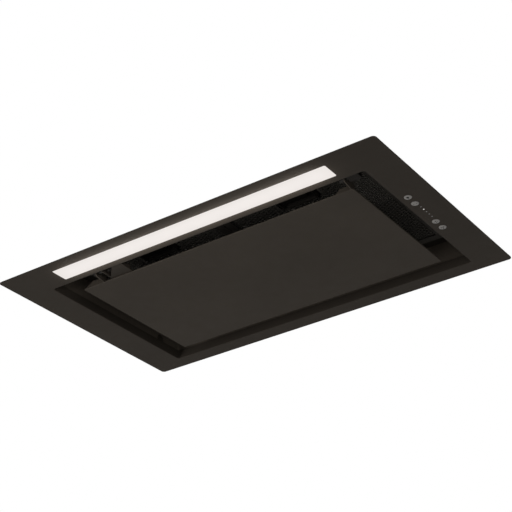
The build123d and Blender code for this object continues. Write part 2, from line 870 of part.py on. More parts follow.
for number, word in enumerate(("left", "right")):
    spot_x = (number - (filter_count - 1) / 2) * (filter_w + filter_fit)
    with BuildPart() as filter_frame:
        with BuildSketch(Plane.XY.offset(filter_z0)):
            with Locations((spot_x, open_y)):
                rounded_ring(filter_w, filter_d, filter_r, filter_rail)
        extrude(amount=filter_z1 - filter_z0)
        with BuildSketch(Plane.XY.offset(filter_z0 + filter_rail_t)):
            with Locations((spot_x, open_y)):
                rounded_ring(channel_w, channel_d, filter_r, filter_rail - filter_rail_t)
        extrude(amount=channel_h, mode=Mode.SUBTRACT)
        with BuildSketch(Plane.XY.offset(pocket_z)):
            with Locations((spot_x, (pocket_y0 + pocket_y1) / 2)):
                Rectangle(pocket_w, pocket_d + 2 * filter_rail_t)
            with Locations((spot_x, (neck_y0 + neck_y1 + latch_travel) / 2)):
                Rectangle(neck_slot_w, neck_slot_d, mode=Mode.SUBTRACT)
        extrude(amount=pocket_t)
        with BuildSketch(Plane.XY.offset(filter_z0)):
            with Locations((spot_x, (pocket_y0 + pocket_y1) / 2)):
                Rectangle(pocket_w, pocket_d + 2 * filter_rail_t)
                Rectangle(pocket_w - 2 * filter_rail_t, pocket_d, mode=Mode.SUBTRACT)
        extrude(amount=filter_z1 - filter_z0)
        with BuildSketch(Plane.XY.offset(tongue_z0 - latch_gap)):
            with Locations((spot_x, (tongue_tip_y + pocket_y0) / 2)):
                Rectangle(latch_w + 2 * latch_gap, pocket_y0 - tongue_tip_y + 4 * filter_rail_t)
        extrude(amount=latch_t + 2 * latch_gap, mode=Mode.SUBTRACT)
        for tab_side in (-1, 1):
            with BuildSketch(Plane.XY.offset(deck_top)):
                with Locations((spot_x + tab_side * tab_x, filter_far_y + tab_d / 2 - filter_rail_t)):
                    Rectangle(tab_w, tab_d + filter_rail_t)
            extrude(amount=tab_t)
    filter_frame.part.label = f"filter_frame_{word}"
    export_step(filter_frame.part, f"parts/filter_frame_{word}.step")

    with BuildPart() as filter_mesh:
        with BuildSketch(Plane.XY.offset(filter_z0 + filter_rail_t)):
            with Locations((spot_x, open_y)):
                Rectangle(mesh_w, mesh_d)
            with Locations((spot_x, (filter_near_y + mesh_cut_y1) / 2)):
                Rectangle(pocket_w, mesh_cut_y1 - filter_near_y, mode=Mode.SUBTRACT)
        extrude(amount=channel_h)
    filter_mesh.part.label = f"filter_mesh_{word}"
    export_step(filter_mesh.part, f"parts/filter_mesh_{word}.step")

    with BuildPart() as filter_latch:
        with BuildSketch(Plane.XY.offset(tongue_z0)):
            with Locations((spot_x, (tongue_tip_y + neck_y1) / 2)):
                Rectangle(latch_w, neck_y1 - tongue_tip_y)
        extrude(amount=latch_t)
        with BuildSketch(Plane.XY.offset(grip_z0)):
            with Locations((spot_x, (neck_y0 + neck_y1) / 2)):
                Rectangle(latch_neck_w, latch_neck_d)
        extrude(amount=tongue_z0 - grip_z0)
        with BuildSketch(Plane.XY.offset(grip_z0)):
            with Locations((spot_x, neck_y0 + grip_d / 2)):
                RectangleRounded(grip_w, grip_d, 2)
        extrude(amount=grip_t)
    filter_latch.part.label = f"filter_latch_{word}"
    export_step(filter_latch.part, f"parts/filter_latch_{word}.step")

    with BuildPart() as latch_spring:
        with BuildSketch(Plane.XZ.offset(-neck_y1)):
            with Locations((spot_x, tongue_z0 + latch_t / 2)):
                Circle(latch_spring_r)
                Circle(latch_spring_bore, mode=Mode.SUBTRACT)
        extrude(amount=-(pocket_y1 - neck_y1))
    latch_spring.part.label = f"latch_spring_{word}"
    export_step(latch_spring.part, f"parts/latch_spring_{word}.step")

# Motor casing: walls, an out-turned foot on the shell, an in-turned rim under the outlet plate
foot_w = casing_w + 2 * casing_flange
foot_d = casing_d + 2 * casing_flange
rim_x = casing_w / 2 - casing_flange / 2
rim_y = casing_d / 2 - casing_flange / 2
rim_spots = [(side * rim_x, row * casing_d * 0.38) for side in (-1, 1) for row in casing_rows]
rim_spots += [(row * casing_w * 0.38, side * rim_y) for side in (-1, 1) for row in (-1, 1)]
with BuildPart() as motor_casing:
    with BuildSketch(Plane.XY.offset(shell_top)):
        rounded_ring(casing_w, casing_d, casing_r, casing_t)
    extrude(amount=casing_top - shell_top)
    with BuildSketch(Plane.XY.offset(shell_top)):
        rounded_ring(foot_w, foot_d, casing_r, casing_flange + casing_t)
        with Locations(*casing_foot_spots):
            Circle(screw_r + screw_fit, mode=Mode.SUBTRACT)
    extrude(amount=casing_t)
    with BuildSketch(Plane.XY.offset(casing_top - casing_t)):
        rounded_ring(casing_w, casing_d, casing_r, casing_flange)
        with Locations(*rim_spots):
            Circle(screw_r + screw_fit, mode=Mode.SUBTRACT)
    extrude(amount=casing_t)
motor_casing.part.label = "motor_casing"
export_step(motor_casing.part, "parts/motor_casing.step")

# Outlet plate on top of the casing
outlet_front_y = blower_y + scroll_start_r * cos(radians(scroll_start_deg))
outlet_rear_y = blower_y + scroll_end_r
collar_bolt_at = (collar_r + collar_flange_r) / 2
collar_spots = [
    (collar_bolt_at * cos(radians(angle)), outlet_y + collar_bolt_at * sin(radians(angle)))
    for angle in (45, 135, 225, 315)
]
plate_top = casing_top + outlet_plate_t
with BuildPart() as outlet_plate:
    with BuildSketch(Plane.XY.offset(casing_top)):
        RectangleRounded(casing_w, casing_d, casing_r)
        with Locations((0, outlet_y)):
            Circle(collar_r - collar_wall - stop_w, mode=Mode.SUBTRACT)
        with Locations(*rim_spots, *collar_spots):
            Circle(screw_r + screw_fit, mode=Mode.SUBTRACT)
    extrude(amount=outlet_plate_t)
outlet_plate.part.label = "outlet_plate"
export_step(outlet_plate.part, "parts/outlet_plate.step")


# Scroll: the radius grows by the same share for each degree, from the tongue round to the rear wall
def scroll_point(share, extra):
    """A point of the scroll's outline, as (y, z)."""
    angle = radians(scroll_start_deg + share * (360 - scroll_start_deg))
    radius = scroll_start_r * exp(share * log(scroll_end_r / scroll_start_r)) + extra
    return (blower_y + radius * cos(angle), blower_z + radius * sin(angle))


def draw_scroll(extra):
    """The scroll's side outline with its straight throat, in the sketch that is open."""
    curve = [scroll_point(number / (scroll_points - 1), extra) for number in range(scroll_points)]
    with BuildLine() as outline:
        Spline(*curve)
        Line(curve[-1], curve[0])
    make_face(outline.line.edges())
    throat_d = outlet_rear_y - outlet_front_y + 2 * extra
    with Locations(((outlet_front_y + outlet_rear_y) / 2, (blower_z + casing_top) / 2)):
        Rectangle(throat_d, casing_top - blower_z)


for side, word in ((-1, "left"), (1, "right")):
    wall_in = side * (scroll_half_w - scroll_wall)
    with BuildPart() as scroll:
        with BuildSketch(Plane.YZ):
            draw_scroll(scroll_wall)
        extrude(amount=side * scroll_half_w)
        with BuildSketch(Plane.YZ):
            draw_scroll(0)
        extrude(amount=wall_in, mode=Mode.SUBTRACT)
        with BuildSketch(Plane.YZ.offset(wall_in - side * inlet_lip)):
            with Locations((blower_y, blower_z)):
                Circle(inlet_r + scroll_wall)
        extrude(amount=side * (inlet_lip + scroll_wall))
        with BuildSketch(Plane.YZ):
            with Locations((blower_y, blower_z)):
                Circle(inlet_r)
        extrude(amount=side * scroll_half_w, mode=Mode.SUBTRACT)
    scroll.part.label = f"scroll_{word}"
    export_step(scroll.part, f"parts/scroll_{word}.step")

# Impeller: middle disc, hub, forward-curved blades and two end rings
blade_in_r = wheel_r - wheel_ring
blade_out_r = wheel_r - 1
blade_sweep = wheel_ring * 0.6
blade_bow = wheel_ring * 0.16
blade_mid_r = (blade_in_r + blade_out_r) / 2
with BuildSketch() as blade_outline:
    with BuildLine():
        front = ThreePointArc((blade_in_r, 0), (blade_mid_r, blade_bow), (blade_out_r, blade_sweep))
        rear = ThreePointArc(
            (blade_in_r, blade_t), (blade_mid_r, blade_bow + blade_t), (blade_out_r, blade_sweep + blade_t)
        )
        Line(front @ 0, rear @ 0)
        Line(front @ 1, rear @ 1)
    make_face()
with BuildPart() as impeller:
    with BuildSketch(Plane.YZ.offset(-wheel_ring_t / 2)):
        with Locations((blower_y, blower_z)):
            Circle(blade_out_r)
    extrude(amount=wheel_ring_t)
    for ring_x in (-wheel_w / 2, wheel_w / 2 - wheel_ring_t):
        with BuildSketch(Plane.YZ.offset(ring_x)):
            with Locations((blower_y, blower_z)):
                Circle(wheel_r)
                Circle(blade_in_r - 1, mode=Mode.SUBTRACT)
        extrude(amount=wheel_ring_t)
    with BuildSketch(Plane.YZ.offset(-wheel_w / 2 + wheel_ring_t)):
        with Locations((blower_y, blower_z)):
            with PolarLocations(0, blade_count):
                add(blade_outline.sketch)
    extrude(amount=wheel_w - 2 * wheel_ring_t)
    with BuildSketch(Plane.YZ.offset(-hub_w / 2)):
        with Locations((blower_y, blower_z)):
            Circle(hub_r)
    extrude(amount=hub_w)
    with BuildSketch(Plane.YZ.offset(-hub_w / 2)):
        with Locations((blower_y, blower_z)):
            Circle(shaft_r)
    extrude(amount=hub_w, mode=Mode.SUBTRACT)
impeller.part.label = "impeller"
export_step(impeller.part, "parts/impeller.step")

# Motor shaft
with BuildPart() as motor_shaft:
    with BuildSketch(Plane.YZ.offset(shaft_left)):
        with Locations((blower_y, blower_z)):
            Circle(shaft_r)
    extrude(amount=shaft_right - shaft_left)
    chamfer(motor_shaft.edges().filter_by(GeomType.CIRCLE), length=shaft_r / 6)
motor_shaft.part.label = "motor_shaft"
export_step(motor_shaft.part, "parts/motor_shaft.step")

# Motor body with a bearing at each end
with BuildPart() as motor_body:
    with BuildSketch(Plane.YZ.offset(motor_x0)):
        with Locations((blower_y, blower_z)):
            Circle(motor_r)
    extrude(amount=motor_x1 - motor_x0)
    fillet(motor_body.edges().filter_by(GeomType.CIRCLE), radius=motor_edge_r)
    with BuildSketch(Plane.YZ.offset(motor_x0)):
        with Locations((blower_y, blower_z)):
            Circle(motor_bore_r)
    extrude(amount=motor_x1 - motor_x0, mode=Mode.SUBTRACT)
    for pocket_x in (motor_x0, motor_x1 - bearing_w):
        with BuildSketch(Plane.YZ.offset(pocket_x)):
            with Locations((blower_y, blower_z)):
                Circle(bearing_r)
        extrude(amount=bearing_w, mode=Mode.SUBTRACT)
motor_body.part.label = "motor_body"
export_step(motor_body.part, "parts/motor_body.step")

with BuildPart() as motor_bearings:
    for pocket_x in (motor_x0, motor_x1 - bearing_w):
        with BuildSketch(Plane.YZ.offset(pocket_x)):
            with Locations((blower_y, blower_z)):
                Circle(bearing_r)
                Circle(shaft_r + bearing_fit, mode=Mode.SUBTRACT)
        extrude(amount=bearing_w)
motor_bearings.part.label = "motor_bearings"
export_step(motor_bearings.part, "parts/motor_bearings.step")

# Motor bracket: a clamp ring round the motor and three arms to the rubber bushes
bracket_x = scroll_half_w + bush_flange
with BuildPart() as motor_bracket:
    with BuildSketch(Plane.YZ.offset(bracket_x)):
        with Locations((blower_y, blower_z)):
            Circle(motor_r + bracket_ring)
            with PolarLocations(0, 3, start_angle=90):
                with Locations((bracket_reach / 2, 0)):
                    Rectangle(bracket_reach, bracket_arm_w)
            Circle(motor_r, mode=Mode.SUBTRACT)
            with PolarLocations(bracket_hole_at, 3, start_angle=90):
                Circle(bush_neck_r + bush_fit, mode=Mode.SUBTRACT)
    extrude(amount=bracket_t)
motor_bracket.part.label = "motor_bracket"
export_step(motor_bracket.part, "parts/motor_bracket.step")

with BuildPart() as motor_bushes:
    for start, length, radius in (
        (scroll_half_w, bush_flange, bush_r),
        (bracket_x, bracket_t, bush_neck_r),
        (bracket_x + bracket_t, bush_flange, bush_r),
    ):
        with BuildSketch(Plane.YZ.offset(start)):
            with Locations((blower_y, blower_z)):
                with PolarLocations(bracket_hole_at, 3, start_angle=90):
                    Circle(radius)
        extrude(amount=length)
motor_bushes.part.label = "motor_bushes"
export_step(motor_bushes.part, "parts/motor_bushes.step")

# Run capacitor on the casing's right wall
capacitor_x = casing_w / 2 - casing_t - capacitor_off_wall - capacitor_r
with BuildPart() as capacitor:
    with BuildSketch(Plane.XY.offset(capacitor_z)):
        with Locations((capacitor_x, capacitor_y)):
            Circle(capacitor_r)
    extrude(amount=capacitor_l)
    fillet(capacitor.edges().filter_by(GeomType.CIRCLE), radius=capacitor_edge_r)
    with BuildSketch(Plane.XY.offset(capacitor_z + capacitor_l / 4)):
        with Locations((casing_w / 2 - casing_t - (capacitor_off_wall + capacitor_r) / 2, capacitor_y)):
            Rectangle(capacitor_off_wall + capacitor_r, capacitor_r)
    extrude(amount=capacitor_l / 2)
capacitor.part.label = "capacitor"
export_step(capacitor.part, "parts/capacitor.step")

# Outlet collar: flange, tube, a stop ring under the flaps
flap_axis_z = plate_top + flap_axis_h
stop_top = flap_axis_z - flap_drop - flap_seat
tube_in_r = collar_r - collar_wall
boss_foot = flap_drop + flap_seat + stop_t / 2
with BuildPart() as outlet_collar:
    with BuildSketch(Plane.XY.offset(plate_top)):
        with Locations((0, outlet_y)):
            Circle(collar_flange_r)
        with Locations(*collar_spots):
            Circle(screw_r + screw_fit, mode=Mode.SUBTRACT)
    extrude(amount=collar_flange_t)
    with BuildSketch(Plane.XY.offset(plate_top)):
        with Locations((0, outlet_y)):
            Circle(collar_r)
    extrude(amount=collar_h)
    with BuildSketch(Plane.XY.offset(stop_top)):
        with Locations((0, outlet_y)):
            Circle(tube_in_r)
    extrude(amount=collar_h, mode=Mode.SUBTRACT)
    with BuildSketch(Plane.XY.offset(plate_top)):
        with Locations((0, outlet_y)):
            Circle(tube_in_r - stop_w)
    extrude(amount=collar_h, mode=Mode.SUBTRACT)
    with BuildSketch(Plane.XY.offset(plate_top)):
        with Locations((0, outlet_y)):
            Circle(tube_in_r)
    extrude(amount=stop_top - stop_t - plate_top, mode=Mode.SUBTRACT)
    for side in (-1, 1):
        with BuildSketch(Plane.YZ.offset(side * (tube_in_r - stop_w))):
            with Locations((outlet_y, flap_axis_z)):
                Circle(knuckle_r)
            with Locations((outlet_y, flap_axis_z - boss_foot / 2)):
                Rectangle(2 * knuckle_r, boss_foot)
            with Locations((outlet_y, flap_axis_z)):
                Circle(flap_pin_r, mode=Mode.SUBTRACT)
        extrude(amount=side * (stop_w + collar_wall / 2))
outlet_collar.part.label = "outlet_collar"
export_step(outlet_collar.part, "parts/outlet_collar.step")

# Flaps: half discs under one pin, with knuckles that take turns along it
flap_r = tube_in_r - flap_gap
knuckle_plan = {"front": ((-56, 16), (0, 20), (56, 16)), "rear": ((-29, 30), (29, 30))}
for sign, word, other in ((-1, "front", "rear"), (1, "rear", "front")):
    with BuildPart() as flap:
        with BuildSketch(Plane.XY.offset(flap_axis_z - flap_drop)):
            with Locations((0, outlet_y)):
                Circle(flap_r)
                with Locations((0, -sign * (flap_r - flap_part))):
                    Rectangle(2 * flap_r + 2, 2 * flap_r, mode=Mode.SUBTRACT)
                for side in (-1, 1):
                    with Locations((side * tube_in_r, 0)):
                        Rectangle(
                            2 * (stop_w + knuckle_clear), 2 * (knuckle_r + boss_clear), mode=Mode.SUBTRACT
                        )
        extrude(amount=flap_t)
        for middle, length in knuckle_plan[word]:
            with BuildSketch(Plane.YZ.offset(middle - length / 2)):
                with Locations((outlet_y, flap_axis_z)):
                    Circle(knuckle_r)
                with BuildLine():
                    Polyline(
                        (outlet_y, flap_axis_z - flap_drop),
                        (outlet_y + sign * 2 * knuckle_r, flap_axis_z - flap_drop),
                        (outlet_y + sign * 2 * knuckle_r, flap_axis_z - flap_drop + flap_t),
                        (outlet_y + sign * knuckle_r, flap_axis_z),
                        (outlet_y, flap_axis_z),
                        close=True,
                    )
                make_face()
            extrude(amount=length)
        with BuildSketch(Plane.YZ.offset(-tube_in_r)):
            with Locations((outlet_y, flap_axis_z)):
                Circle(flap_pin_r + flap_pin_run)
        extrude(amount=2 * tube_in_r, mode=Mode.SUBTRACT)
        for middle, length in knuckle_plan[other]:
            with BuildSketch(Plane.YZ.offset(middle - length / 2 - 1)):
                with Locations((outlet_y, flap_axis_z)):
                    Circle(knuckle_r + knuckle_clear)
            extrude(amount=length + 2, mode=Mode.SUBTRACT)
    flap.part.label = f"flap_{word}"
    export_step(flap.part, f"parts/flap_{word}.step")

with BuildPart() as flap_pin:
    with BuildSketch(Plane.YZ.offset(-(tube_in_r - flap_pin_end))):
        with Locations((outlet_y, flap_axis_z)):
            Circle(flap_pin_r)
    extrude(amount=2 * (tube_in_r - flap_pin_end))
flap_pin.part.label = "flap_pin"
export_step(flap_pin.part, "parts/flap_pin.step")

# Electrics box on the shell's top
box_x = casing_w / 2 + casing_flange + box_gap + box_w / 2
box_top = shell_top + box_h
inner_w = box_w - 2 * box_wall
inner_d = box_d - 2 * box_wall
main_board_z = shell_top + board_h
main_board_y = -inner_d / 2 + board_in + board_d / 2
post_places = [
    (box_x + side * (inner_w / 2 - board_in - 3), main_board_y + row * (board_d / 2 - 5))
    for side in (-1, 1)
    for row in (-1, 1)
]
with BuildPart() as electrics_box:
    with BuildSketch(Plane.XY.offset(shell_top)):
        with Locations((box_x, 0)):
            RectangleRounded(box_w, box_d, box_r)
    extrude(amount=box_h)
    with BuildSketch(Plane.XY.offset(shell_top + box_wall)):
        with Locations((box_x, 0)):
            RectangleRounded(inner_w, inner_d, box_r - box_wall)
    extrude(amount=box_h, mode=Mode.SUBTRACT)
    with BuildSketch(Plane.XY.offset(shell_top + box_wall)):
        with Locations(*post_places):
            Circle(3)
    extrude(amount=board_h - box_wall)
    with BuildSketch(Plane.XZ.offset(-box_d / 2)):
        with Locations((box_x, shell_top + gland_z)):
            Circle(gland_neck_r + gland_fit)
    extrude(amount=box_wall, mode=Mode.SUBTRACT)
electrics_box.part.label = "electrics_box"
export_step(electrics_box.part, "parts/electrics_box.step")

with BuildPart() as electrics_lid:
    with BuildSketch(Plane.XY.offset(box_top)):
        with Locations((box_x, 0)):
            RectangleRounded(box_w, box_d, box_r)
    extrude(amount=lid_t)
    fillet(at_height(electrics_lid.edges(), box_top + lid_t), radius=lid_t / 2)
    with BuildSketch(Plane.XY.offset(box_top - lid_lip_h)):
        with Locations((box_x, 0)):
            rounded_ring(inner_w - 2 * lid_fit, inner_d - 2 * lid_fit, box_r - box_wall, box_wall)
    extrude(amount=lid_lip_h)
electrics_lid.part.label = "electrics_lid"
export_step(electrics_lid.part, "parts/electrics_lid.step")

with BuildPart() as main_board:
    with BuildSketch(Plane.XY.offset(main_board_z)):
        with Locations((box_x, main_board_y)):
            Rectangle(inner_w - 2 * board_in, board_d)
    extrude(amount=board_t)
main_board.part.label = "main_board"
export_step(main_board.part, "parts/main_board.step")

with BuildPart() as light_driver:
    with BuildSketch(Plane.XY.offset(main_board_z + board_t)):
        with Locations((box_x, main_board_y - board_d / 2 + driver_size[1] / 2 + board_in)):
            RectangleRounded(driver_size[0], driver_size[1], 1.5)
    extrude(amount=driver_size[2])
light_driver.part.label = "light_driver"
export_step(light_driver.part, "parts/light_driver.step")

with BuildPart() as terminal_block:
    with BuildSketch(Plane.XY.offset(main_board_z + board_t)):
        with Locations((box_x, main_board_y + board_d / 2 - terminal_size[1] / 2 - board_in)):
            Rectangle(terminal_size[0], terminal_size[1])
    extrude(amount=terminal_size[2])
    with BuildSketch(Plane.XY.offset(main_board_z + board_t + terminal_size[2])):
        with Locations((box_x, main_board_y + board_d / 2 - terminal_size[1] / 2 - board_in)):
            with GridLocations(terminal_size[0] / 4, 0, 4, 1):
                Circle(2)
    extrude(amount=-terminal_size[2] / 2, mode=Mode.SUBTRACT)
terminal_block.part.label = "terminal_block"
export_step(terminal_block.part, "parts/terminal_block.step")

# Gland for the mains lead, through the box's rear wall
gland_y = box_d / 2
with BuildPart() as cable_gland:
    with BuildSketch(Plane.XZ.offset(-gland_y)):
        with Locations((box_x, shell_top + gland_z)):
            RegularPolygon(gland_r, 6)
    extrude(amount=-gland_out)
    with BuildSketch(Plane.XZ.offset(-gland_y)):
        with Locations((box_x, shell_top + gland_z)):
            Circle(gland_neck_r)
    extrude(amount=gland_in)
    with BuildSketch(Plane.XZ.offset(-gland_y + gland_in)):
        with Locations((box_x, shell_top + gland_z)):
            Circle(gland_bore_r)
    extrude(amount=-(gland_in + gland_out), mode=Mode.SUBTRACT)
cable_gland.part.label = "cable_gland"
export_step(cable_gland.part, "parts/cable_gland.step")

# Screws of the casing's foot, the outlet plate and the collar
with BuildPart() as casing_screws:
    for seat_z, spots in (
        (shell_top + casing_t, casing_foot_spots),
        (plate_top, rim_spots),
        (plate_top + collar_flange_t, collar_spots),
    ):
        with BuildSketch(Plane.XY.offset(seat_z)):
            with Locations(*spots):
                Circle(screw_head_r)
        extrude(amount=screw_head_h)
        with BuildSketch(Plane.XY.offset(seat_z - screw_l)):
            with Locations(*spots):
                Circle(screw_r)
        extrude(amount=screw_l)
casing_screws.part.label = "casing_screws"
export_step(casing_screws.part, "parts/casing_screws.step")
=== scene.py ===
import json
from functools import cache
from math import atan2, cos, pi, radians, sin

import bmesh
import bpy
from mathutils import Matrix, Vector


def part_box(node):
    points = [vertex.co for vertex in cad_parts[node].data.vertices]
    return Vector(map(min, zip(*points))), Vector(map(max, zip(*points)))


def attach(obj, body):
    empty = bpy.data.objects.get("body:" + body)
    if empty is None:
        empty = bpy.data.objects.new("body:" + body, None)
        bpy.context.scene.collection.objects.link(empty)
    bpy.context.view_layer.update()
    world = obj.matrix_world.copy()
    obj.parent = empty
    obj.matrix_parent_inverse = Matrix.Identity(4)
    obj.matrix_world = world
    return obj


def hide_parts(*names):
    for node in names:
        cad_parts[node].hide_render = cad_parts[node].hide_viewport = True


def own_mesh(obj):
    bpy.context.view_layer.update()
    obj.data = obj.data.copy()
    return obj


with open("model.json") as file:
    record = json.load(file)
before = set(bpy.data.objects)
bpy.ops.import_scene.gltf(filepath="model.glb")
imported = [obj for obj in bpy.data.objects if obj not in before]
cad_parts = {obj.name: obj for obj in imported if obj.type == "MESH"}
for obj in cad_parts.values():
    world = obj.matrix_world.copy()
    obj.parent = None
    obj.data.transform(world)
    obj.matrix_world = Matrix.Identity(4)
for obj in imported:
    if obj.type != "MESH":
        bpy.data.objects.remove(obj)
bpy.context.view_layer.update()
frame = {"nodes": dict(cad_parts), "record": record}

# Built-in range hood, seen from below. Metres throughout, in the same frame as the solids.
scene = bpy.context.scene
MM = 0.001
HOOD = "hood"
UP = (0, 0, 1)


def mm(*lengths):
    """Lengths in millimetres, brought to metres."""
    return [length * MM for length in lengths]


# Reading the solids
@cache
def corners_of(node):
    """A solid's lowest and highest corners, measured once."""
    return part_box(node)


def low(node):
    """The lowest corner of a solid."""
    return corners_of(node)[0]


def high(node):
    """The highest corner of a solid."""
    return corners_of(node)[1]


def middle(node):
    """The centre of a solid's box."""
    return (low(node) + high(node)) / 2


def extent(node):
    """The lowest corner, the highest corner and the centre."""
    return low(node), high(node), middle(node)


# Shader helpers
def add_node(tree, kind, inputs=None, **settings):
    """A shader or geometry node, its settings given by name and its inputs by name or number."""
    made = tree.nodes.new(kind)
    for name, value in settings.items():
        setattr(made, name, value)
    for name, value in (inputs or {}).items():
        if isinstance(value, bpy.types.NodeSocket):
            tree.links.new(value, made.inputs[name])
        else:
            made.inputs[name].default_value = value
    return made


def made_by(tree, kind, inputs=None, **settings):
    """What a new node gives at its first output."""
    return add_node(tree, kind, inputs, **settings).outputs[0]


def maths(tree, operation, first, second):
    """The result of a sum on two values."""
    return made_by(tree, "ShaderNodeMath", {0: first, 1: second}, operation=operation)


def feed(shader, socket, value):
    """Joins a value to one of a shader's sockets."""
    shader.id_data.links.new(value, shader.inputs[socket])


def new_finish(name, colour, roughness, metallic=0.0, specular=0.5):
    """A material with its plain values on the shader's own sockets."""
    finish = bpy.data.materials.new(name)
    finish.use_nodes = True
    shader = finish.node_tree.nodes["Principled BSDF"]
    for socket, value in (
        ("Base Color", (*colour, 1.0)), ("Roughness", roughness), ("Metallic", metallic),
        ("Specular IOR Level", specular),
    ):
        shader.inputs[socket].default_value = value
    return finish, finish.node_tree, shader


def place_of(tree, stretch=(1.0, 1.0, 1.0)):
    """The point on the piece, stretched by axis."""
    where = add_node(tree, "ShaderNodeTexCoord")
    return made_by(tree, "ShaderNodeMapping", {"Vector": where.outputs["Object"], "Scale": stretch})


def cloud(tree, place, per_metre, detail=3.0, rough=0.5):
    """Soft noise, so many blots a metre."""
    return made_by(tree, "ShaderNodeTexNoise", {
        "Vector": place, "Scale": per_metre, "Detail": detail, "Roughness": rough,
    })


def spread(tree, value, bottom, top, start=0.3, end=0.7):
    """A value's range start to end, brought to bottom to top."""
    return made_by(tree, "ShaderNodeMapRange", {
        "Value": value, "From Min": start, "From Max": end, "To Min": bottom, "To Max": top,
    })


# the Mix node's sockets for colours
MIX_SHARE, MIX_FIRST, MIX_SECOND, MIXED = 0, 6, 7, 2


def blend_colours(tree, share, first, second):
    """Two colours mixed by a value. The first may come from another node."""
    start = first if isinstance(first, bpy.types.NodeSocket) else (*first, 1.0)
    sockets = {MIX_SHARE: share, MIX_FIRST: start, MIX_SECOND: (*second, 1.0)}
    return add_node(tree, "ShaderNodeMix", sockets, data_type="RGBA", clamp_factor=True).outputs[MIXED]


def times(colour, share):
    """A colour made lighter or darker."""
    return tuple(min(1.0, part * share) for part in colour)


def tint_by(tree, value, colour, darkest, lightest, start=0.3, end=0.7):
    """A colour between two shares of itself, by a value."""
    mix = spread(tree, value, 0, 1, start, end)
    return blend_colours(tree, mix, times(colour, darkest), times(colour, lightest))


def relief(shader, height, depth, strength):
    """Bump of a depth in metres."""
    bump = {"Height": height, "Distance": depth, "Strength": strength}
    feed(shader, "Normal", made_by(shader.id_data, "ShaderNodeBump", bump))


# Finishes
def powder_coat(name, colour, roughness=0.5, specular=0.04):
    """Satin powder coat: a fine orange peel, faint blots in the colour and the gloss."""
    finish, tree, shader = new_finish(name, colour, roughness, specular=specular)
    place = place_of(tree)
    grain = cloud(tree, place, 1500.0, 2.0, 0.6)
    blotted = tint_by(tree, cloud(tree, place, 9.0, 2.0), colour, 0.93, 1.07)
    speckled = blend_colours(tree, spread(tree, grain, 0, 0.35, 0.4, 0.75), blotted, times(colour, 1.35))
    feed(shader, "Base Color", speckled)
    gloss = cloud(tree, place, 60.0)
    feed(shader, "Roughness", spread(tree, gloss, roughness - 0.03, roughness + 0.04))
    relief(shader, grain, 0.03 * MM, 0.6)
    return finish


def zinc_sheet(name, colour):
    """Galvanised sheet: small crystals, each of its own grey and gloss, under a faint haze."""
    finish, tree, shader = new_finish(name, colour, 0.45, metallic=0.85)
    place = place_of(tree)
    wander = add_node(tree, "ShaderNodeTexNoise", {"Vector": place, "Scale": 90.0, "Detail": 2.0})
    sway = {0: wander.outputs["Color"], 1: (0.006, 0.006, 0.006)}
    nudge = made_by(tree, "ShaderNodeVectorMath", sway, operation="MULTIPLY")
    bent = made_by(tree, "ShaderNodeVectorMath", {0: place, 1: nudge}, operation="ADD")
    crystals = add_node(tree, "ShaderNodeTexVoronoi", {"Vector": bent, "Scale": 105.0})
    split = add_node(tree, "ShaderNodeSeparateColor", {"Color": crystals.outputs["Color"]})
    grey = tint_by(tree, split.outputs["Red"], colour, 0.8, 1.16, 0, 1)
    haze = cloud(tree, place, 14.0, 4.0)
    feed(shader, "Base Color", blend_colours(tree, spread(tree, haze, 0, 0.4), grey, times(colour, 0.72)))
    feed(shader, "Roughness", spread(tree, split.outputs["Green"], 0.34, 0.56, 0, 1))
    relief(shader, cloud(tree, place, 700.0, 2.0), 0.02 * MM, 0.5)
    return finish


def worked_metal(name, colour, roughness, stretch, per_metre=900.0, metallic=1.0, wear=0.12):
    """Metal with fine marks: brushed, ground or drawn."""
    finish, tree, shader = new_finish(name, colour, roughness, metallic=metallic)
    marks = cloud(tree, place_of(tree, stretch), per_metre, rough=0.6)
    dull = cloud(tree, place_of(tree), 120.0)
    feed(shader, "Base Color", tint_by(tree, marks, colour, 1 - wear, 1 + wear / 2))
    feed(shader, "Roughness", spread(tree, dull, roughness - 0.05, roughness + 0.08))
    relief(shader, marks, 0.01 * MM, 0.5)
    return finish


def moulded(name, colour, roughness=0.5, grain_per_metre=1100.0, depth=0.02, specular=0.5):
    """Moulded plastic or rubber: an even fine grain and faint flow marks."""
    finish, tree, shader = new_finish(name, colour, roughness, specular=specular)
    flow = cloud(tree, place_of(tree, (1.0, 1.0, 0.3)), 22.0)
    grain = cloud(tree, place_of(tree), grain_per_metre, 2.0, 0.6)
    feed(shader, "Base Color", tint_by(tree, flow, colour, 0.9, 1.1))
    feed(shader, "Roughness", spread(tree, flow, roughness - 0.04, roughness + 0.05))
    relief(shader, grain, depth * MM, 0.6)
    return finish


def foam_rubber(name, colour):
    """Closed-cell foam: small pits all over, each painted darker towards its middle as painted shade."""
    finish, tree, shader = new_finish(name, colour, 0.85, specular=0.25)
    pits = made_by(tree, "ShaderNodeTexVoronoi", {"Vector": place_of(tree), "Scale": 900.0})
    # painted shade: the colour darkens into each pit
    feed(shader, "Base Color", tint_by(tree, pits, colour, 0.5, 1.3, 0.1, 0.6))
    relief(shader, pits, 0.15 * MM, 0.8)
    return finish


def lit_opal(name, glow):
    """Opal acrylic lit from behind: almost even, with a faint haze."""
    finish, tree, shader = new_finish(name, (0.004, 0.004, 0.004), 0.4, specular=0.05)
    place = place_of(tree)
    feed(shader, "Emission Color", tint_by(tree, cloud(tree, place, 30.0, 2.0), glow, 0.985, 1.01))
    shader.inputs["Emission Strength"].default_value = 1.0
    relief(shader, cloud(tree, place, 800.0, 2.0), 0.01 * MM, 0.4)
    return finish


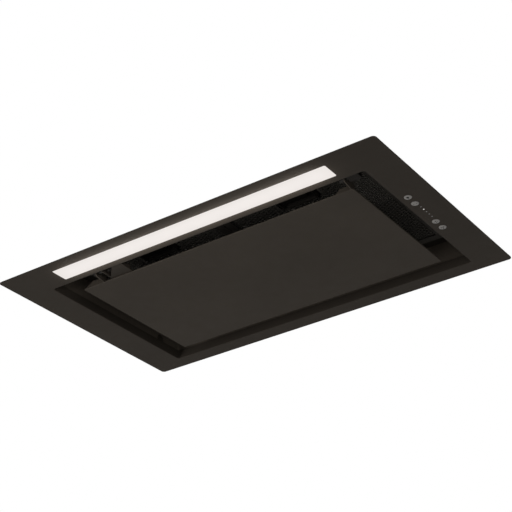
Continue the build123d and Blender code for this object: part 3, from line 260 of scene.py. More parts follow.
def printed_board(name, resist, copper):
    """A circuit board: resist over tracks."""
    finish, tree, shader = new_finish(name, resist, 0.35)
    tracks = add_node(tree, "ShaderNodeTexBrick", {
        "Vector": place_of(tree), "Scale": 220.0, "Color1": (*resist, 1), "Color2": (*times(resist, 1.25), 1),
        "Mortar": (*copper, 1), "Mortar Size": 0.03, "Brick Width": 1.4, "Row Height": 0.35,
    })
    feed(shader, "Base Color", tracks.outputs["Color"])
    relief(shader, tracks.outputs["Fac"], 0.03 * MM, 0.5)
    return finish


def clear_pipe(name, colour, glow=None, strength=0.0):
    """A polished light pipe, glowing or dark."""
    finish, tree, shader = new_finish(name, colour, 0.15)
    swirl = cloud(tree, place_of(tree), 500.0, 2.0)
    feed(shader, "Base Color", tint_by(tree, swirl, colour, 0.85, 1.1))
    if glow:
        feed(shader, "Emission Color", tint_by(tree, swirl, glow, 0.9, 1.0))
        shader.inputs["Emission Strength"].default_value = strength
    return finish


EVEN = (1.0, 1.0, 1.0)
DRAWN_UPRIGHT = (1.0, 1.0, 0.06)
GROUND_ALONG = (0.1, 1.0, 1.0)
PAINT = (0.0213, 0.0176, 0.0140)
SILVER = (0.138, 0.130, 0.122)
finishes = {
    "black_paint": powder_coat("satin_black_paint", PAINT),
    "foam": foam_rubber("grey_foam", (0.045, 0.045, 0.047)),
    "zinc_sheet": zinc_sheet("galvanised_sheet", (0.60, 0.61, 0.62)),
    "spring_steel": worked_metal("spring_steel", (0.45, 0.46, 0.48), 0.3, DRAWN_UPRIGHT),
    "screw_zinc": worked_metal("plated_zinc", (0.6, 0.6, 0.57), 0.3, EVEN, 2200.0),
    "opal": lit_opal("lit_opal_acrylic", (0.83, 0.785, 0.755)),
    "white_tray": powder_coat("white_enamel", (0.80, 0.80, 0.79), 0.35, 0.5),
    "circuit_green": printed_board("green_board", (0.02, 0.12, 0.05), (0.05, 0.24, 0.10)),
    "circuit_white": printed_board("white_board", (0.82, 0.82, 0.79), (0.74, 0.73, 0.68)),
    "led": moulded("phosphor", (0.9, 0.78, 0.3), 0.4),
    "black_plastic": moulded("black_moulding", (0.027, 0.027, 0.028), 0.45, specular=0.4),
    "grey_plastic": moulded("grey_moulding", (0.27, 0.27, 0.28)),
    "switch_black": moulded("switch_moulding", (0.03, 0.03, 0.034), 0.4),
    "clear_pipe": clear_pipe("dark_light_pipe", (0.13, 0.13, 0.125)),
    "button_silver": worked_metal("satin_nickel", SILVER, 0.38, EVEN, 2600.0, metallic=0.2, wear=0.05),
    "pin_steel": worked_metal("ground_steel", (0.5, 0.5, 0.5), 0.28, GROUND_ALONG, 1600.0),
    "black_steel": powder_coat("blackened_steel", (0.012, 0.0105, 0.009), 0.4, 0.08),
    "magnet": worked_metal("nickel_plate", (0.55, 0.54, 0.52), 0.25, EVEN),
    "filter_black": powder_coat("black_coated_aluminium", (0.034, 0.031, 0.027), 0.45, 0.05),
    "mesh_black": powder_coat("black_coated_mesh", (0.052, 0.048, 0.042), 0.5, 0.05),
    "motor_paint": powder_coat("grey_enamel", (0.09, 0.09, 0.10), 0.4, 0.5),
    "rubber": moulded("moulded_rubber", (0.025, 0.025, 0.025), 0.75, 1500.0, 0.03),
    "capacitor_white": moulded("white_moulding", (0.8, 0.8, 0.77), 0.35),
    "blue_plastic": moulded("blue_moulding", (0.06, 0.14, 0.42), 0.35),
    "terminal_white": moulded("terminal_moulding", (0.78, 0.77, 0.70), 0.4),
}
slot_of = {part["node"]: part["material_slot"] for part in frame["record"]["subparts"]}


def dress(node, finish):
    """Gives a solid its finish."""
    piece = frame["nodes"][node]
    if not piece.material_slots:
        piece.data.materials.append(finish)
    for each in piece.material_slots:
        each.material = finish


for node, slot in slot_of.items():
    dress(node, finishes[slot])
# Lit and shaded copies of the one black paint: the recess walls and the panel are painted lighter as painted
# light, and the left lug and the filter deck are painted darker as painted shade
for node, name, share in (
    ("recess_walls", "recess_paint_painted_light", 2.2), ("suction_panel", "panel_paint_painted_light", 1.2),
    ("left_hinge_lug", "lug_paint_painted_shade", 0.75), ("filter_deck", "deck_paint_painted_shade", 0.45),
):
    dress(node, powder_coat(name, times(PAINT, share)))
dark_moulding = moulded("dark_moulding", (0.0105, 0.0092, 0.0080), 0.6, specular=0.04)
for node in (
    "right_hinge_lug", "magnet_holder_left", "magnet_holder_right", "filter_latch_left", "filter_latch_right",
):
    dress(node, dark_moulding)


# Mesh helpers
def new_object(name, data):
    """An object in the scene."""
    made = bpy.data.objects.new(name, data)
    scene.collection.objects.link(made)
    return made


def new_mesh(name, points, faces=()):
    """A mesh of points and the faces between them."""
    mesh = bpy.data.meshes.new(name)
    mesh.from_pydata([tuple(point) for point in points], [], faces)
    mesh.update()
    return mesh


def new_piece(name, points, faces, slot, body=HOOD, replaces=(), smooth=35.0, finish=None):
    """A mesh piece that rides on a body, in its slot's finish or in its own."""
    mesh = new_mesh(name, points, faces)
    mesh.materials.append(finish or finishes[slot])
    return finish_piece(name, mesh, body, replaces, smooth)


def finish_piece(name, mesh, body=HOOD, replaces=(), smooth=35.0):
    """Makes a mesh a piece, its body and the solids it stands for."""
    mesh.name = name
    mesh.shade_smooth()
    mesh.set_sharp_from_angle(angle=radians(smooth))
    piece = new_object(name, mesh)
    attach(piece, body)
    if replaces:
        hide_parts(*replaces)
    return piece


def join_shapes(*shapes):
    """Several (points, faces) as one."""
    points, faces = [], []
    for some_points, some_faces in shapes:
        shift = len(points)
        points += some_points
        faces += [[number + shift for number in face] for face in some_faces]
    return points, faces


def moved(shape, matrix):
    """A shape carried by a matrix."""
    points, faces = shape
    return [matrix @ point for point in points], faces


def set_at(shape, *place):
    """A shape moved to a place."""
    return moved(shape, Matrix.Translation(place))


def polar(radius, turn, height=0.0):
    """The point at a radius and a turn about Z."""
    return Vector((radius * cos(turn), radius * sin(turn), height))


def turns_of(steps):
    """The angles of even steps round a circle."""
    return [2 * pi * step / steps for step in range(steps)]


def wrap(rings, count, closed=False):
    """Faces between rings of points, which close in a loop or have their first and last ring filled."""
    faces = []
    for ring in range(rings if closed else rings - 1):
        base, above = ring * count, (ring + 1) % rings * count
        for number in range(count):
            after = (number + 1) % count
            faces.append([base + number, base + after, above + after, above + number])
    if not closed:
        faces.append(list(range(count))[::-1])
        faces.append([(rings - 1) * count + number for number in range(count)])
    return faces


def turned(faces):
    """Faces made to look the other way, each from its first corner."""
    return [face[:1] + face[:0:-1] for face in faces]


def lathe(profile, steps):
    """A profile of (radius, height), listed upwards on the outside, turned about Z. Its ends may be on Z."""
    points, rings, faces = [], [], []
    for radius, height in profile:
        first = len(points)
        points += [polar(radius, turn, height) for turn in (turns_of(steps) if radius else [0.0])]
        rings.append(range(first, len(points)))
    for ring, above in zip(rings, rings[1:]):
        for step in range(steps):
            after = (step + 1) % steps
            if len(ring) == 1:
                faces.append([ring[0], above[after], above[step]])
            elif len(above) == 1:
                faces.append([ring[step], ring[after], above[0]])
            else:
                faces.append([ring[step], ring[after], above[after], above[step]])
    return points, faces


def arc(centre, radius, start, end, count):
    """Points of an arc in a profile, in degrees from the outward axis."""
    turns = [radians(start + (end - start) * number / count) for number in range(count + 1)]
    return [(centre[0] + radius * cos(turn), centre[1] + radius * sin(turn)) for turn in turns]


def bar(width, height, x=0.0, y=0.0):
    """A bar's outline, anticlockwise."""
    return [
        (x - width / 2, y - height / 2), (x + width / 2, y - height / 2),
        (x + width / 2, y + height / 2), (x - width / 2, y + height / 2),
    ]


def rounded_outline(width, depth, corner, count):
    """A rounded rectangle's points, anticlockwise, about the origin."""
    points = []
    for number, (side_x, side_y) in enumerate(((1, 1), (-1, 1), (-1, -1), (1, -1))):
        centre = (side_x * (width / 2 - corner), side_y * (depth / 2 - corner))
        points += arc(centre, corner, 90 * number, 90 * number + 90, count)
    return points


def stack(outlines):
    """A closed solid through outlines of equal length, each with its height, from the bottom up."""
    points = [Vector((x, y, height)) for outline, height in outlines for x, y in outline]
    return points, wrap(len(outlines), len(outlines[0][0]))


def sweep(path, radius, sides):
    """A tube along a path, closed at its ends."""
    points = []
    last = len(path) - 1
    guide = Vector(UP) if abs((path[1] - path[0]).normalized().z) < 0.9 else Vector((1, 0, 0))
    for number, centre in enumerate(path):
        along = (path[min(number + 1, last)] - path[max(number - 1, 0)]).normalized()
        across = (guide - along * guide.dot(along)).normalized()
        up = along.cross(across)
        guide = across
        points += [centre + radius * (cos(turn) * across + sin(turn) * up) for turn in turns_of(sides)]
    return points, wrap(len(path), sides)


# Repeats by Geometry Nodes
def shape_by(tree, kind, inputs=None, **settings):
    """What a new geometry node gives at its first output."""
    return made_by(tree, "GeometryNode" + kind, inputs, **settings)


def open_tree(name, sockets):
    """A tree that takes a mesh and named inputs, and those inputs."""
    tree = bpy.data.node_groups.new(name, "GeometryNodeTree")
    for label, kind in {"Geometry": "Geometry", **sockets}.items():
        tree.interface.new_socket(label, in_out="INPUT", socket_type="NodeSocket" + kind)
    tree.interface.new_socket("Geometry", in_out="OUTPUT", socket_type="NodeSocketGeometry")
    return tree, add_node(tree, "NodeGroupInput").outputs


def close_tree(tree, copies, finish):
    """Makes the copies real, gives them their finish and hands them out."""
    real = shape_by(tree, "RealizeInstances", {"Geometry": copies})
    painted = shape_by(tree, "SetMaterial", {"Geometry": real, "Material": finish})
    add_node(tree, "NodeGroupOutput", {"Geometry": painted})
    return tree


def repeat_tree():
    """Sets a form on each point, facing the way the point says, with a seeded turn about that way."""
    tree, given = open_tree("repeat_on_points", {
        "Form": "Object", "Size": "Float", "Turn": "Float", "Seed": "Int", "Finish": "Material",
    })
    form = add_node(tree, "GeometryNodeObjectInfo", {"Object": given["Form"]})
    facing = shape_by(tree, "InputNamedAttribute", {"Name": "facing"}, data_type="FLOAT_VECTOR")
    upright = made_by(tree, "FunctionNodeAlignRotationToVector", {"Vector": facing}, axis="Z")
    chance = add_node(tree, "FunctionNodeRandomValue", {"Seed": given["Seed"]}, data_type="FLOAT")
    angle = maths(tree, "MULTIPLY", chance.outputs[1], given["Turn"])
    spin = made_by(tree, "FunctionNodeAxisAngleToRotation", {"Axis": UP, "Angle": angle})
    turns = {"Rotation": upright, "Rotate By": spin}
    copies = shape_by(tree, "InstanceOnPoints", {
        "Points": given["Geometry"], "Instance": form.outputs["Geometry"], "Scale": given["Size"],
        "Rotation": made_by(tree, "FunctionNodeRotateRotation", turns, rotation_space="LOCAL"),
    })
    return close_tree(tree, copies, given["Finish"])


def grown(name, start, tree, values):
    """The plain mesh that a Geometry Nodes tree makes of a starting mesh."""
    seed = new_object(name + "_start", start)
    growth = seed.modifiers.new("growth", "NODES")
    growth.node_group = tree
    for item in tree.interface.items_tree:
        if item.in_out == "INPUT" and item.name in values:
            growth[item.identifier] = values[item.name]
    bpy.context.view_layer.update()
    seen = seed.evaluated_get(bpy.context.evaluated_depsgraph_get())
    mesh = bpy.data.meshes.new_from_object(seen)
    seed.modifiers.remove(growth)
    bpy.data.objects.remove(seed)
    return mesh


repeat_on_points = repeat_tree()


def repeated(name, form, spots, slot, replaces=(), turn=2 * pi, seed=1):
    """One piece of a form set on spots, each (place, way it faces)."""
    template = new_object(name + "_form", new_mesh(name + "_form", *form))
    start = new_mesh(name + "_spots", [place for place, facing in spots])
    ways = start.attributes.new("facing", "FLOAT_VECTOR", "POINT")
    for number, (place, facing) in enumerate(spots):
        ways.data[number].vector = facing
    mesh = grown(name, start, repeat_on_points, {
        "Form": template, "Size": 1.0, "Turn": turn, "Seed": seed, "Finish": finishes[slot],
    })
    bpy.data.objects.remove(template)
    return finish_piece(name, mesh, HOOD, replaces)


# Camera, at the photograph's angle
PICTURE_W = 512
SENSOR_W, LENS = 36.0, 99.039
NEAREST, FARTHEST = 0.01, 60.0
CAMERA_PLACE = (0.8170, -1.2140, -0.8069)
HEADING, RISE, ROLL = 33.789, 29.374, -1.7525


def make_camera():
    """Turned by degrees, and shifted by half a pixel each way."""
    lens = bpy.data.cameras.new("camera")
    lens.sensor_fit = "HORIZONTAL"
    lens.sensor_width = SENSOR_W
    lens.lens = LENS
    lens.shift_x = -0.5 / PICTURE_W
    lens.shift_y = 0.5 / PICTURE_W
    lens.clip_start = NEAREST
    lens.clip_end = FARTHEST
    camera = new_object("camera", lens)
    heading = Matrix.Rotation(radians(HEADING), 4, "Z")
    rise = Matrix.Rotation(radians(90.0 + RISE), 4, "X")
    roll = Matrix.Rotation(radians(ROLL), 4, "Z")
    camera.matrix_world = Matrix.Translation(CAMERA_PLACE) @ heading @ rise @ roll
    scene.camera = camera


# Stage: the underside of the cabinet that the hood is let into, and a floor far below
WHITE = (1.0, 1.0, 1.0, 1.0)
BACKDROP = 1.0
SKY = 0.5
FLOOR_Z, FLOOR_REACH = -2.2, 14.0
BOARD_T = 0.016
BOARD_NEAR, BOARD_FAR, BOARD_SIDE = -0.44, 0.38, 0.44
CUT_W, CUT_D, CUT_CORNER = 0.4975, 0.303, 0.004
SAME_PLACE = 1e-6


def seen_directly(tree):
    """1 for what the camera sees, also in gloss and through glass."""
    ray = add_node(tree, "ShaderNodeLightPath").outputs
    seen = maths(tree, "MAXIMUM", ray["Is Camera Ray"], ray["Is Glossy Ray"])
    return maths(tree, "MAXIMUM", seen, ray["Is Transmission Ray"])


def pale_matt(name, colour):
    """Pale and plain, with a faint mottle."""
    finish, tree, shader = new_finish(name, colour, 0.9, specular=0.1)
    feed(shader, "Base Color", tint_by(tree, cloud(tree, place_of(tree), 3.0, 2.0), colour, 0.985, 1.015))
    return finish


def white_to_camera(name, colour):
    """Pale and plain, but the white backdrop to the camera and in gloss and glass."""
    finish = pale_matt(name, colour)
    tree = finish.node_tree
    matt = tree.nodes["Principled BSDF"].outputs["BSDF"]
    glow = made_by(tree, "ShaderNodeEmission", {"Color": WHITE, "Strength": BACKDROP})
    both = made_by(tree, "ShaderNodeMixShader", {"Fac": seen_directly(tree), 1: matt, 2: glow})
    feed(tree.nodes["Material Output"], "Surface", both)
    return finish


def make_board():
    """The board round the cut-out. Its rim has a point for each point of the cut, thrown outwards."""
    cut = rounded_outline(CUT_W, CUT_D, CUT_CORNER, 2)
    rim = [(BOARD_SIDE if x > 0 else -BOARD_SIDE, BOARD_FAR if y > 0 else BOARD_NEAR) for x, y in cut]
    loops = ((cut, 0.0), (rim, 0.0), (rim, BOARD_T), (cut, BOARD_T))
    points = [(x, y, height) for loop, height in loops for x, y in loop]
    mesh = new_mesh("cabinet_board", points, turned(wrap(len(loops), len(cut), closed=True)))
    mesh.materials.append(white_to_camera("board_underside", (0.8, 0.8, 0.8)))
    mesh.materials.append(pale_matt("board_top", (0.72, 0.72, 0.71)))
    merged = bmesh.new()
    merged.from_mesh(mesh)
    bmesh.ops.remove_doubles(merged, verts=merged.verts, dist=SAME_PLACE)
    bmesh.ops.recalc_face_normals(merged, faces=merged.faces)
    merged.to_mesh(mesh)
    merged.free()
    # the top and the edges that the camera doesn't see are plain
    for face in mesh.polygons:
        x, y, z = face.center
        face.material_index = int(z > 0.9 * BOARD_T or x < -0.9 * BOARD_SIDE or y > 0.9 * BOARD_FAR)
    return new_object("cabinet_board", mesh)


def make_stage():
    board = make_board()
    corners = [(x, y, FLOOR_Z) for x, y in bar(2 * FLOOR_REACH, 2 * FLOOR_REACH)]
    floor_mesh = new_mesh("floor", corners, [(0, 1, 2, 3)])
    floor_mesh.materials.append(pale_matt("pale_floor", (0.8, 0.8, 0.79)))
    floor = new_object("floor", floor_mesh)


# Lamps and sky. Each lamp has its place, the point it looks at, its width in metres and its watts.
FACE, BODY = (0.0, 0.0, 0.0), (0.0, 0.0, 0.1)
LAMPS = {
    "low_left_lamp": ((-1.5, -0.6, -1.2), FACE, 1.0, 19.0),
    "low_front_lamp": ((-1.3, -1.8, -0.8), FACE, 1.2, 18.0),
    "low_right_lamp": ((1.5, -0.7, -1.1), FACE, 1.0, 5.0),
    "top_front_lamp": ((1.2, -1.9, 1.9), BODY, 1.4, 34.0),
    "top_back_lamp": ((-1.6, 1.5, 1.6), BODY, 1.4, 26.0),
}
STRIP_L, STRIP_W, STRIP_DROP, STRIP_WATTS = 0.36, 0.01, 0.012, 0.27


def soft_lamp(name, place, aim, width, watts):
    """A square lamp that the camera doesn't see."""
    lamp = bpy.data.lights.new(name, "AREA")
    lamp.shape = "SQUARE"
    lamp.size = width
    lamp.energy = watts
    holder = new_object(name, lamp)
    holder.visible_camera = False
    way = Vector(aim) - Vector(place)
    holder.matrix_world = Matrix.Translation(place) @ way.to_track_quat("-Z", "Y").to_matrix().to_4x4()
    return holder


def make_strip_glow():
    """The light of the lit strip on the parts beside it."""
    strip_y = middle("light_diffuser").y
    strip = soft_lamp("strip_glow", (0.0, strip_y, -STRIP_DROP), (0.0, strip_y, 0.0), STRIP_L, STRIP_WATTS)
    strip.data.shape = "RECTANGLE"
    strip.data.size_y = STRIP_W
    strip.visible_glossy = False


def make_light():
    for name, settings in LAMPS.items():
        soft_lamp(name, *settings)
    make_strip_glow()
    world = bpy.data.worlds.new("sky")
    scene.world = world
    world.use_nodes = True
    tree = world.node_tree
    sky = tree.nodes["Background"]
    sky.inputs["Color"].default_value = WHITE
    feed(sky, "Strength", spread(tree, seen_directly(tree), SKY, BACKDROP, 0.0, 1.0))
    scene.view_settings.view_transform = "Standard"


# Push buttons: crowned satin caps, each with a plain printed sign
BUTTONS = ("light_button", "slower_button", "faster_button", "boost_button")
CAP_R, CAP_RIM = mm(4.4, 0.25)
CROWN, CROWN_POWER, CROWN_RINGS = 0.6 * MM, 3, 8
FLANGE_R, FLANGE_T = mm(5.6, 1.0)
STEM_R = 1.6 * MM
HOUSING_WALL = 1.2 * MM
SIGN_T = 0.04 * MM
SIGN_STROKE, SIGN_REACH = mm(1.0, 4.2)
GLOBE_R, FAN_R = mm(1.6, 2.5)
# a fan blade's points: share of the reach, and lean
PETAL = ((0.1, -0.25), (0.55, -0.55), (0.95, -0.42), (1.0, 0.0), (0.8, 0.38), (0.45, 0.3))


def crown_at(radius):
    """How far the cap has fallen back from its middle at a radius."""
    return CROWN * (radius / CAP_R) ** CROWN_POWER


def button_shape(node):
    """Crown, rim, flange and stem, listed from the middle of the crown outwards and up."""
    bottom, top, centre = extent(node)
    floor_z = low("control_housing").z + HOUSING_WALL
    flat_r = CAP_R - CAP_RIM
    profile = [(0.0, bottom.z)]
    for number in range(CROWN_RINGS):
        radius = flat_r * (number + 1) / CROWN_RINGS
        profile.append((radius, bottom.z + crown_at(radius)))
    edge_z = bottom.z + crown_at(flat_r) + CAP_RIM
    profile += arc((flat_r, edge_z), CAP_RIM, -70, 0, 4)
    profile += [
        (CAP_R, floor_z), (FLANGE_R, floor_z), (FLANGE_R, floor_z + FLANGE_T), (STEM_R, floor_z + FLANGE_T),
        (STEM_R, top.z), (0.0, top.z),
    ]
    return set_at(lathe(profile, 40), centre.x, centre.y, 0)


def petal(turn):
    """One blade of the fan sign."""
    return [polar(FAN_R * share, turn + lean).xy for share, lean in PETAL]


def sign_outlines(node):
    """The outlines of a button's sign. Their top is towards the near edge."""
    minus = bar(SIGN_REACH, SIGN_STROKE)
    if node == "slower_button":
        return [minus]
    if node == "faster_button":
        arm = (SIGN_REACH - SIGN_STROKE) / 4 + SIGN_STROKE / 2
        return [minus] + [bar(SIGN_STROKE, arm * 2 - SIGN_STROKE, 0, side * arm) for side in (1, -1)]
    if node == "light_button":
        globe = [(x, y - 0.6 * MM) for x, y in arc((0, 0), GLOBE_R, 0, 345, 23)]
        return [globe, bar(*mm(1.6, 0.4, 0, 1.4)), bar(*mm(1.1, 0.4, 0, 2.0))]
    return [petal(radians(120 * number + 90)) for number in range(3)]


def make_buttons():
    ink = moulded("printed_ink", (0.006, 0.006, 0.006), 0.7, specular=0.1)
    for node in BUTTONS:
        new_piece(node + "_cap", *button_shape(node), "button_silver", node, [node])
        flat = [stack([(outline, -SIGN_T), (outline, 4 * SIGN_T)]) for outline in sign_outlines(node)]
        points, faces = join_shapes(*flat)
        laid = [point + Vector((0, 0, crown_at(point.xy.length))) for point in points]
        sign = set_at((laid, faces), middle(node).x, middle(node).y, low(node).z)
        new_piece(node + "_sign", *sign, "black_plastic", node, finish=ink)


# Indicator lenses, the second one lit
LENS_COUNT, LIT_LENS = 5, 1
LENS_R, LENS_EDGE, LENS_FLANGE_R = mm(0.9, 0.12, 1.6)


def make_indicators():
    node = "indicator_pipes"
    bottom, top = low(node), high(node)
    floor_z = low("control_housing").z + HOUSING_WALL
    pitch = ((top.y - bottom.y) - 2 * LENS_FLANGE_R) / (LENS_COUNT - 1)
    lens = lathe([
        (0.0, bottom.z), (LENS_R * 0.85, bottom.z), (LENS_R, bottom.z + LENS_EDGE), (LENS_R, floor_z),
        (LENS_FLANGE_R, floor_z), (LENS_FLANGE_R, floor_z + FLANGE_T), (LENS_R, floor_z + FLANGE_T),
        (LENS_R, top.z), (0.0, top.z),
    ], 20)
    rows = [bottom.y + LENS_FLANGE_R + number * pitch for number in range(LENS_COUNT)]
    pipes = join_shapes(*[set_at(lens, middle(node).x, row, 0) for row in rows])
    mesh = new_piece("indicator_lenses", *pipes, "clear_pipe", HOOD, [node]).data
    mesh.materials.append(clear_pipe("lit_light_pipe", (0.5, 0.49, 0.47), (1.0, 0.97, 0.93), 0.36))
    marks = [1 if number == LIT_LENS else 0 for number in range(LENS_COUNT) for face in lens[1]]
    mesh.polygons.foreach_set("material_index", marks)


# Coil springs, each with its middle radius, the wire's radius and the turns
PIN_COIL, LATCH_COIL = (2.6 * MM, 0.35 * MM, 10), (0.75 * MM, 0.2 * MM, 16)
CLOSED_TURNS, CLOSED_PITCH = 1.0, 2.05
COIL_SIDES, COIL_STEPS = 7, 18


def coil(start, end, mid_r, wire_r, turns):
    """A compression spring between two places on one axis, its end turns closed up."""
    length = (end - start).length - 2 * wire_r
    along = (end - start).normalized()
    side = Vector(UP)
    other = along.cross(side)
    closed = CLOSED_PITCH * wire_r
    path = []
    for number in range(int(turns * COIL_STEPS) + 1):
        turn = number / COIL_STEPS
        if turn < CLOSED_TURNS:
            reach = closed * turn
        elif turn > turns - CLOSED_TURNS:
            reach = length - closed * (turns - turn)
        else:
            live, open_length = turns - 2 * CLOSED_TURNS, length - 2 * closed * CLOSED_TURNS
            reach = closed * CLOSED_TURNS + open_length * (turn - CLOSED_TURNS) / live
        angle = 2 * pi * turn
        path.append(start + along * (wire_r + reach) + mid_r * (cos(angle) * side + sin(angle) * other))
    return sweep(path, wire_r, COIL_SIDES)


def make_spring(name, node, slot, axis, sizes):
    """A coil in place of a spring's sleeve, from one end of the sleeve's box to the other, with a mesh of its
    own.
    """
    ends = [
        Vector([edge if along else mid for edge, mid, along in zip(corner, middle(node), axis)])
        for corner in corners_of(node)
    ]
    piece = new_piece(name, *coil(*ends, *sizes), slot, HOOD, [node], smooth=80)
    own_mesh(piece)


def make_springs():
    make_spring(
        "release_coil", "release_spring", "black_steel", (1, 0, 0), PIN_COIL,
    )
    for word in ("left", "right"):
        name, node = "latch_coil_" + word, "latch_spring_" + word
        make_spring(name, node, "spring_steel", (0, 1, 0), LATCH_COIL)


# Grease filters: expanded metal in three layers over a backing layer, with a pocket cut out for the latch.
# The backing is painted lighter than the mesh, a painted light against the shade under the strands
PITCH_X, PITCH_Y = mm(9.0, 4.6)
STRAND_W, STRAND_T = mm(0.5, 1.1)
LAYERS, FIRST_LAYER, LAYER_RISE = 3, 0.8 * MM, 2.6 * MM
POCKET_HALF, POCKET_END = 27.5 * MM, -0.0454
BACKING_LOW, BACKING_HIGH = mm(1.5, 2.5)


def mesh_tree():
    """Rows of stretched diamonds in layers, clear of the latch's pocket."""
    tree, given = open_tree("expanded_metal", {
        "Columns": "Int", "Rows": "Int", "Pitch X": "Float", "Pitch Y": "Float", "Strand W": "Float",
        "Strand T": "Float", "Layers": "Int", "Layer Step": "Vector", "Centre": "Vector",
        "Pocket Half": "Float", "Pocket End": "Float", "Finish": "Material",
    })
    wide = maths(tree, "MULTIPLY", given["Pitch X"], maths(tree, "SUBTRACT", given["Columns"], 1.0))
    deep = maths(tree, "MULTIPLY", given["Pitch Y"], maths(tree, "SUBTRACT", given["Rows"], 1.0))
    grid = shape_by(tree, "MeshGrid", {
        "Size X": wide, "Size Y": deep, "Vertices X": given["Columns"], "Vertices Y": given["Rows"],
    })
    spots = shape_by(tree, "Transform", {"Geometry": grid, "Translation": given["Centre"]})
    here = shape_by(tree, "InputPosition")
    place = add_node(tree, "ShaderNodeSeparateXYZ", {"Vector": here}).outputs
    centre = add_node(tree, "ShaderNodeSeparateXYZ", {"Vector": given["Centre"]}).outputs
    aside = maths(tree, "ABSOLUTE", maths(tree, "SUBTRACT", place["X"], centre["X"]), 0.0)
    beside = maths(tree, "LESS_THAN", aside, given["Pocket Half"])
    before = maths(tree, "LESS_THAN", place["Y"], given["Pocket End"])
    pocket = {"Geometry": spots, "Selection": maths(tree, "MULTIPLY", beside, before)}
    cleared = shape_by(tree, "DeleteGeometry", pocket, domain="POINT")
    line = shape_by(tree, "MeshLine", {"Count": given["Layers"], "Offset": given["Layer Step"]})
    diamond = shape_by(tree, "CurvePrimitiveCircle", {"Resolution": 4, "Radius": 0.5})
    stretch = made_by(tree, "ShaderNodeCombineXYZ", {"X": given["Pitch X"], "Y": given["Pitch Y"], "Z": 1.0})
    ring = shape_by(tree, "Transform", {"Geometry": diamond, "Scale": stretch})
    strand = {"Width": given["Strand W"], "Height": given["Strand T"]}
    strip = shape_by(tree, "CurvePrimitiveQuadrilateral", strand)
    link = shape_by(tree, "CurveToMesh", {"Curve": ring, "Profile Curve": strip})
    layer = shape_by(tree, "InstanceOnPoints", {"Points": cleared, "Instance": link})
    layers = shape_by(tree, "InstanceOnPoints", {"Points": line, "Instance": layer})
    return close_tree(tree, layers, given["Finish"])


def backing_layer(bottom, top, centre):
    """A flat layer round the latch's pocket."""
    left, right = centre.x - POCKET_HALF, centre.x + POCKET_HALF
    outline = [
        (bottom.x, bottom.y), (left, bottom.y), (left, POCKET_END), (right, POCKET_END), (right, bottom.y),
        (top.x, bottom.y), (top.x, top.y), (bottom.x, top.y),
    ]
    return stack([(outline, bottom.z + BACKING_LOW), (outline, bottom.z + BACKING_HIGH)])


def make_filter_meshes():
    tree = mesh_tree()
    # the backing's colour is a lighter copy of the mesh's black: painted light where the strands shade it
    painted_light_backing = powder_coat("filter_backing_painted_light", (0.074, 0.069, 0.060), 0.8, 0.03)
    for word in ("left", "right"):
        node = "filter_mesh_" + word
        bottom, top, centre = extent(node)
        mesh = grown(node, new_mesh(node + "_start", []), tree, {
            "Columns": int((top.x - bottom.x) / PITCH_X), "Rows": int((top.y - bottom.y) / PITCH_Y),
            "Pitch X": PITCH_X, "Pitch Y": PITCH_Y, "Strand W": STRAND_W, "Strand T": STRAND_T,
            "Layers": LAYERS, "Layer Step": (PITCH_X / 6, PITCH_Y / 3, LAYER_RISE),
            "Centre": (centre.x, centre.y, bottom.z + FIRST_LAYER), "Pocket Half": POCKET_HALF,
            "Pocket End": POCKET_END + PITCH_Y / 2, "Finish": finishes["mesh_black"],
        })
        finish_piece("expanded_" + node, mesh, HOOD, [node], 30)
        layer = backing_layer(bottom, top, centre)
        new_piece(node + "_inner_layer", *layer, "mesh_black", finish=painted_light_backing)


# Screws: pan heads with a cross recess
CASING_W, CASING_D, CASING_FLANGE = mm(320.0, 262.0, 12.0)
CASING_SHEET = 1.0 * MM
COLLAR_SCREW_R, COLLAR_FLANGE_T = mm(83.25, 3.0)
COLLAR_Y = middle("outlet_collar").y
PLATE_Z = high("outlet_plate").z
SHELL_TOP = high("canopy_shell")
HEAD_LEVELS = ((0.72, 0.97), (0.93, 0.75), (1.0, 0.35), (1.0, 0.0))


def pan_screw(head_r, head_h, shank_r, shank_l):
    """A pan head on a shank, with a sunk cross, facing +Z from its seat at 0."""
    cross_w, cross_l, cross_d = head_r * 0.17, head_r * 0.58, head_h * 0.5
    cross = []
    arm = ((cross_w, cross_l), (cross_w, cross_w), (cross_l, cross_w))
    for quarter in range(4):
        turn = Matrix.Rotation(radians(-90 * quarter), 2)
        cross += [turn @ Vector(point) for point in arm]
    cross = cross[::-1]
    points = [Vector((point.x * 0.6, point.y * 0.6, head_h - cross_d)) for point in cross]
    points += [Vector((point.x, point.y, head_h)) for point in cross]
    rings = [(head_r * wide, head_h * tall) for wide, tall in HEAD_LEVELS]
    rings += [(shank_r, 0.0), (shank_r, -shank_l)]
    for radius, height in rings:
        points += [polar(radius, atan2(point.y, point.x), height) for point in cross]
    return points, turned(wrap(len(rings) + 2, len(cross)))


def make_casing_screws():
    foot = SHELL_TOP.z + CASING_SHEET
    out_x, out_y = CASING_W / 2 + CASING_FLANGE / 2, CASING_D / 2 + CASING_FLANGE / 2
    in_x, in_y = CASING_W / 2 - CASING_FLANGE / 2, CASING_D / 2 - CASING_FLANGE / 2
    places = []
    for side in (-1, 1):
        for row in (-1, 0, 1):
            places.append((side * out_x, row * CASING_D * 0.4, foot))
            places.append((row * CASING_W * 0.4, side * out_y, foot))
            places.append((side * in_x, row * CASING_D * 0.38, PLATE_Z))
        for row in (-1, 1):
            places.append((row * CASING_W * 0.38, side * in_y, PLATE_Z))
    for x, y in arc((0, COLLAR_Y), COLLAR_SCREW_R, 45, 315, 3):
        places.append((x, y, PLATE_Z + COLLAR_FLANGE_T))
    screw = pan_screw(*mm(3.6, 2.4, 1.9, 7))
    repeated("pan_head_screws", screw, [(place, UP) for place in places], "screw_zinc", ["casing_screws"])


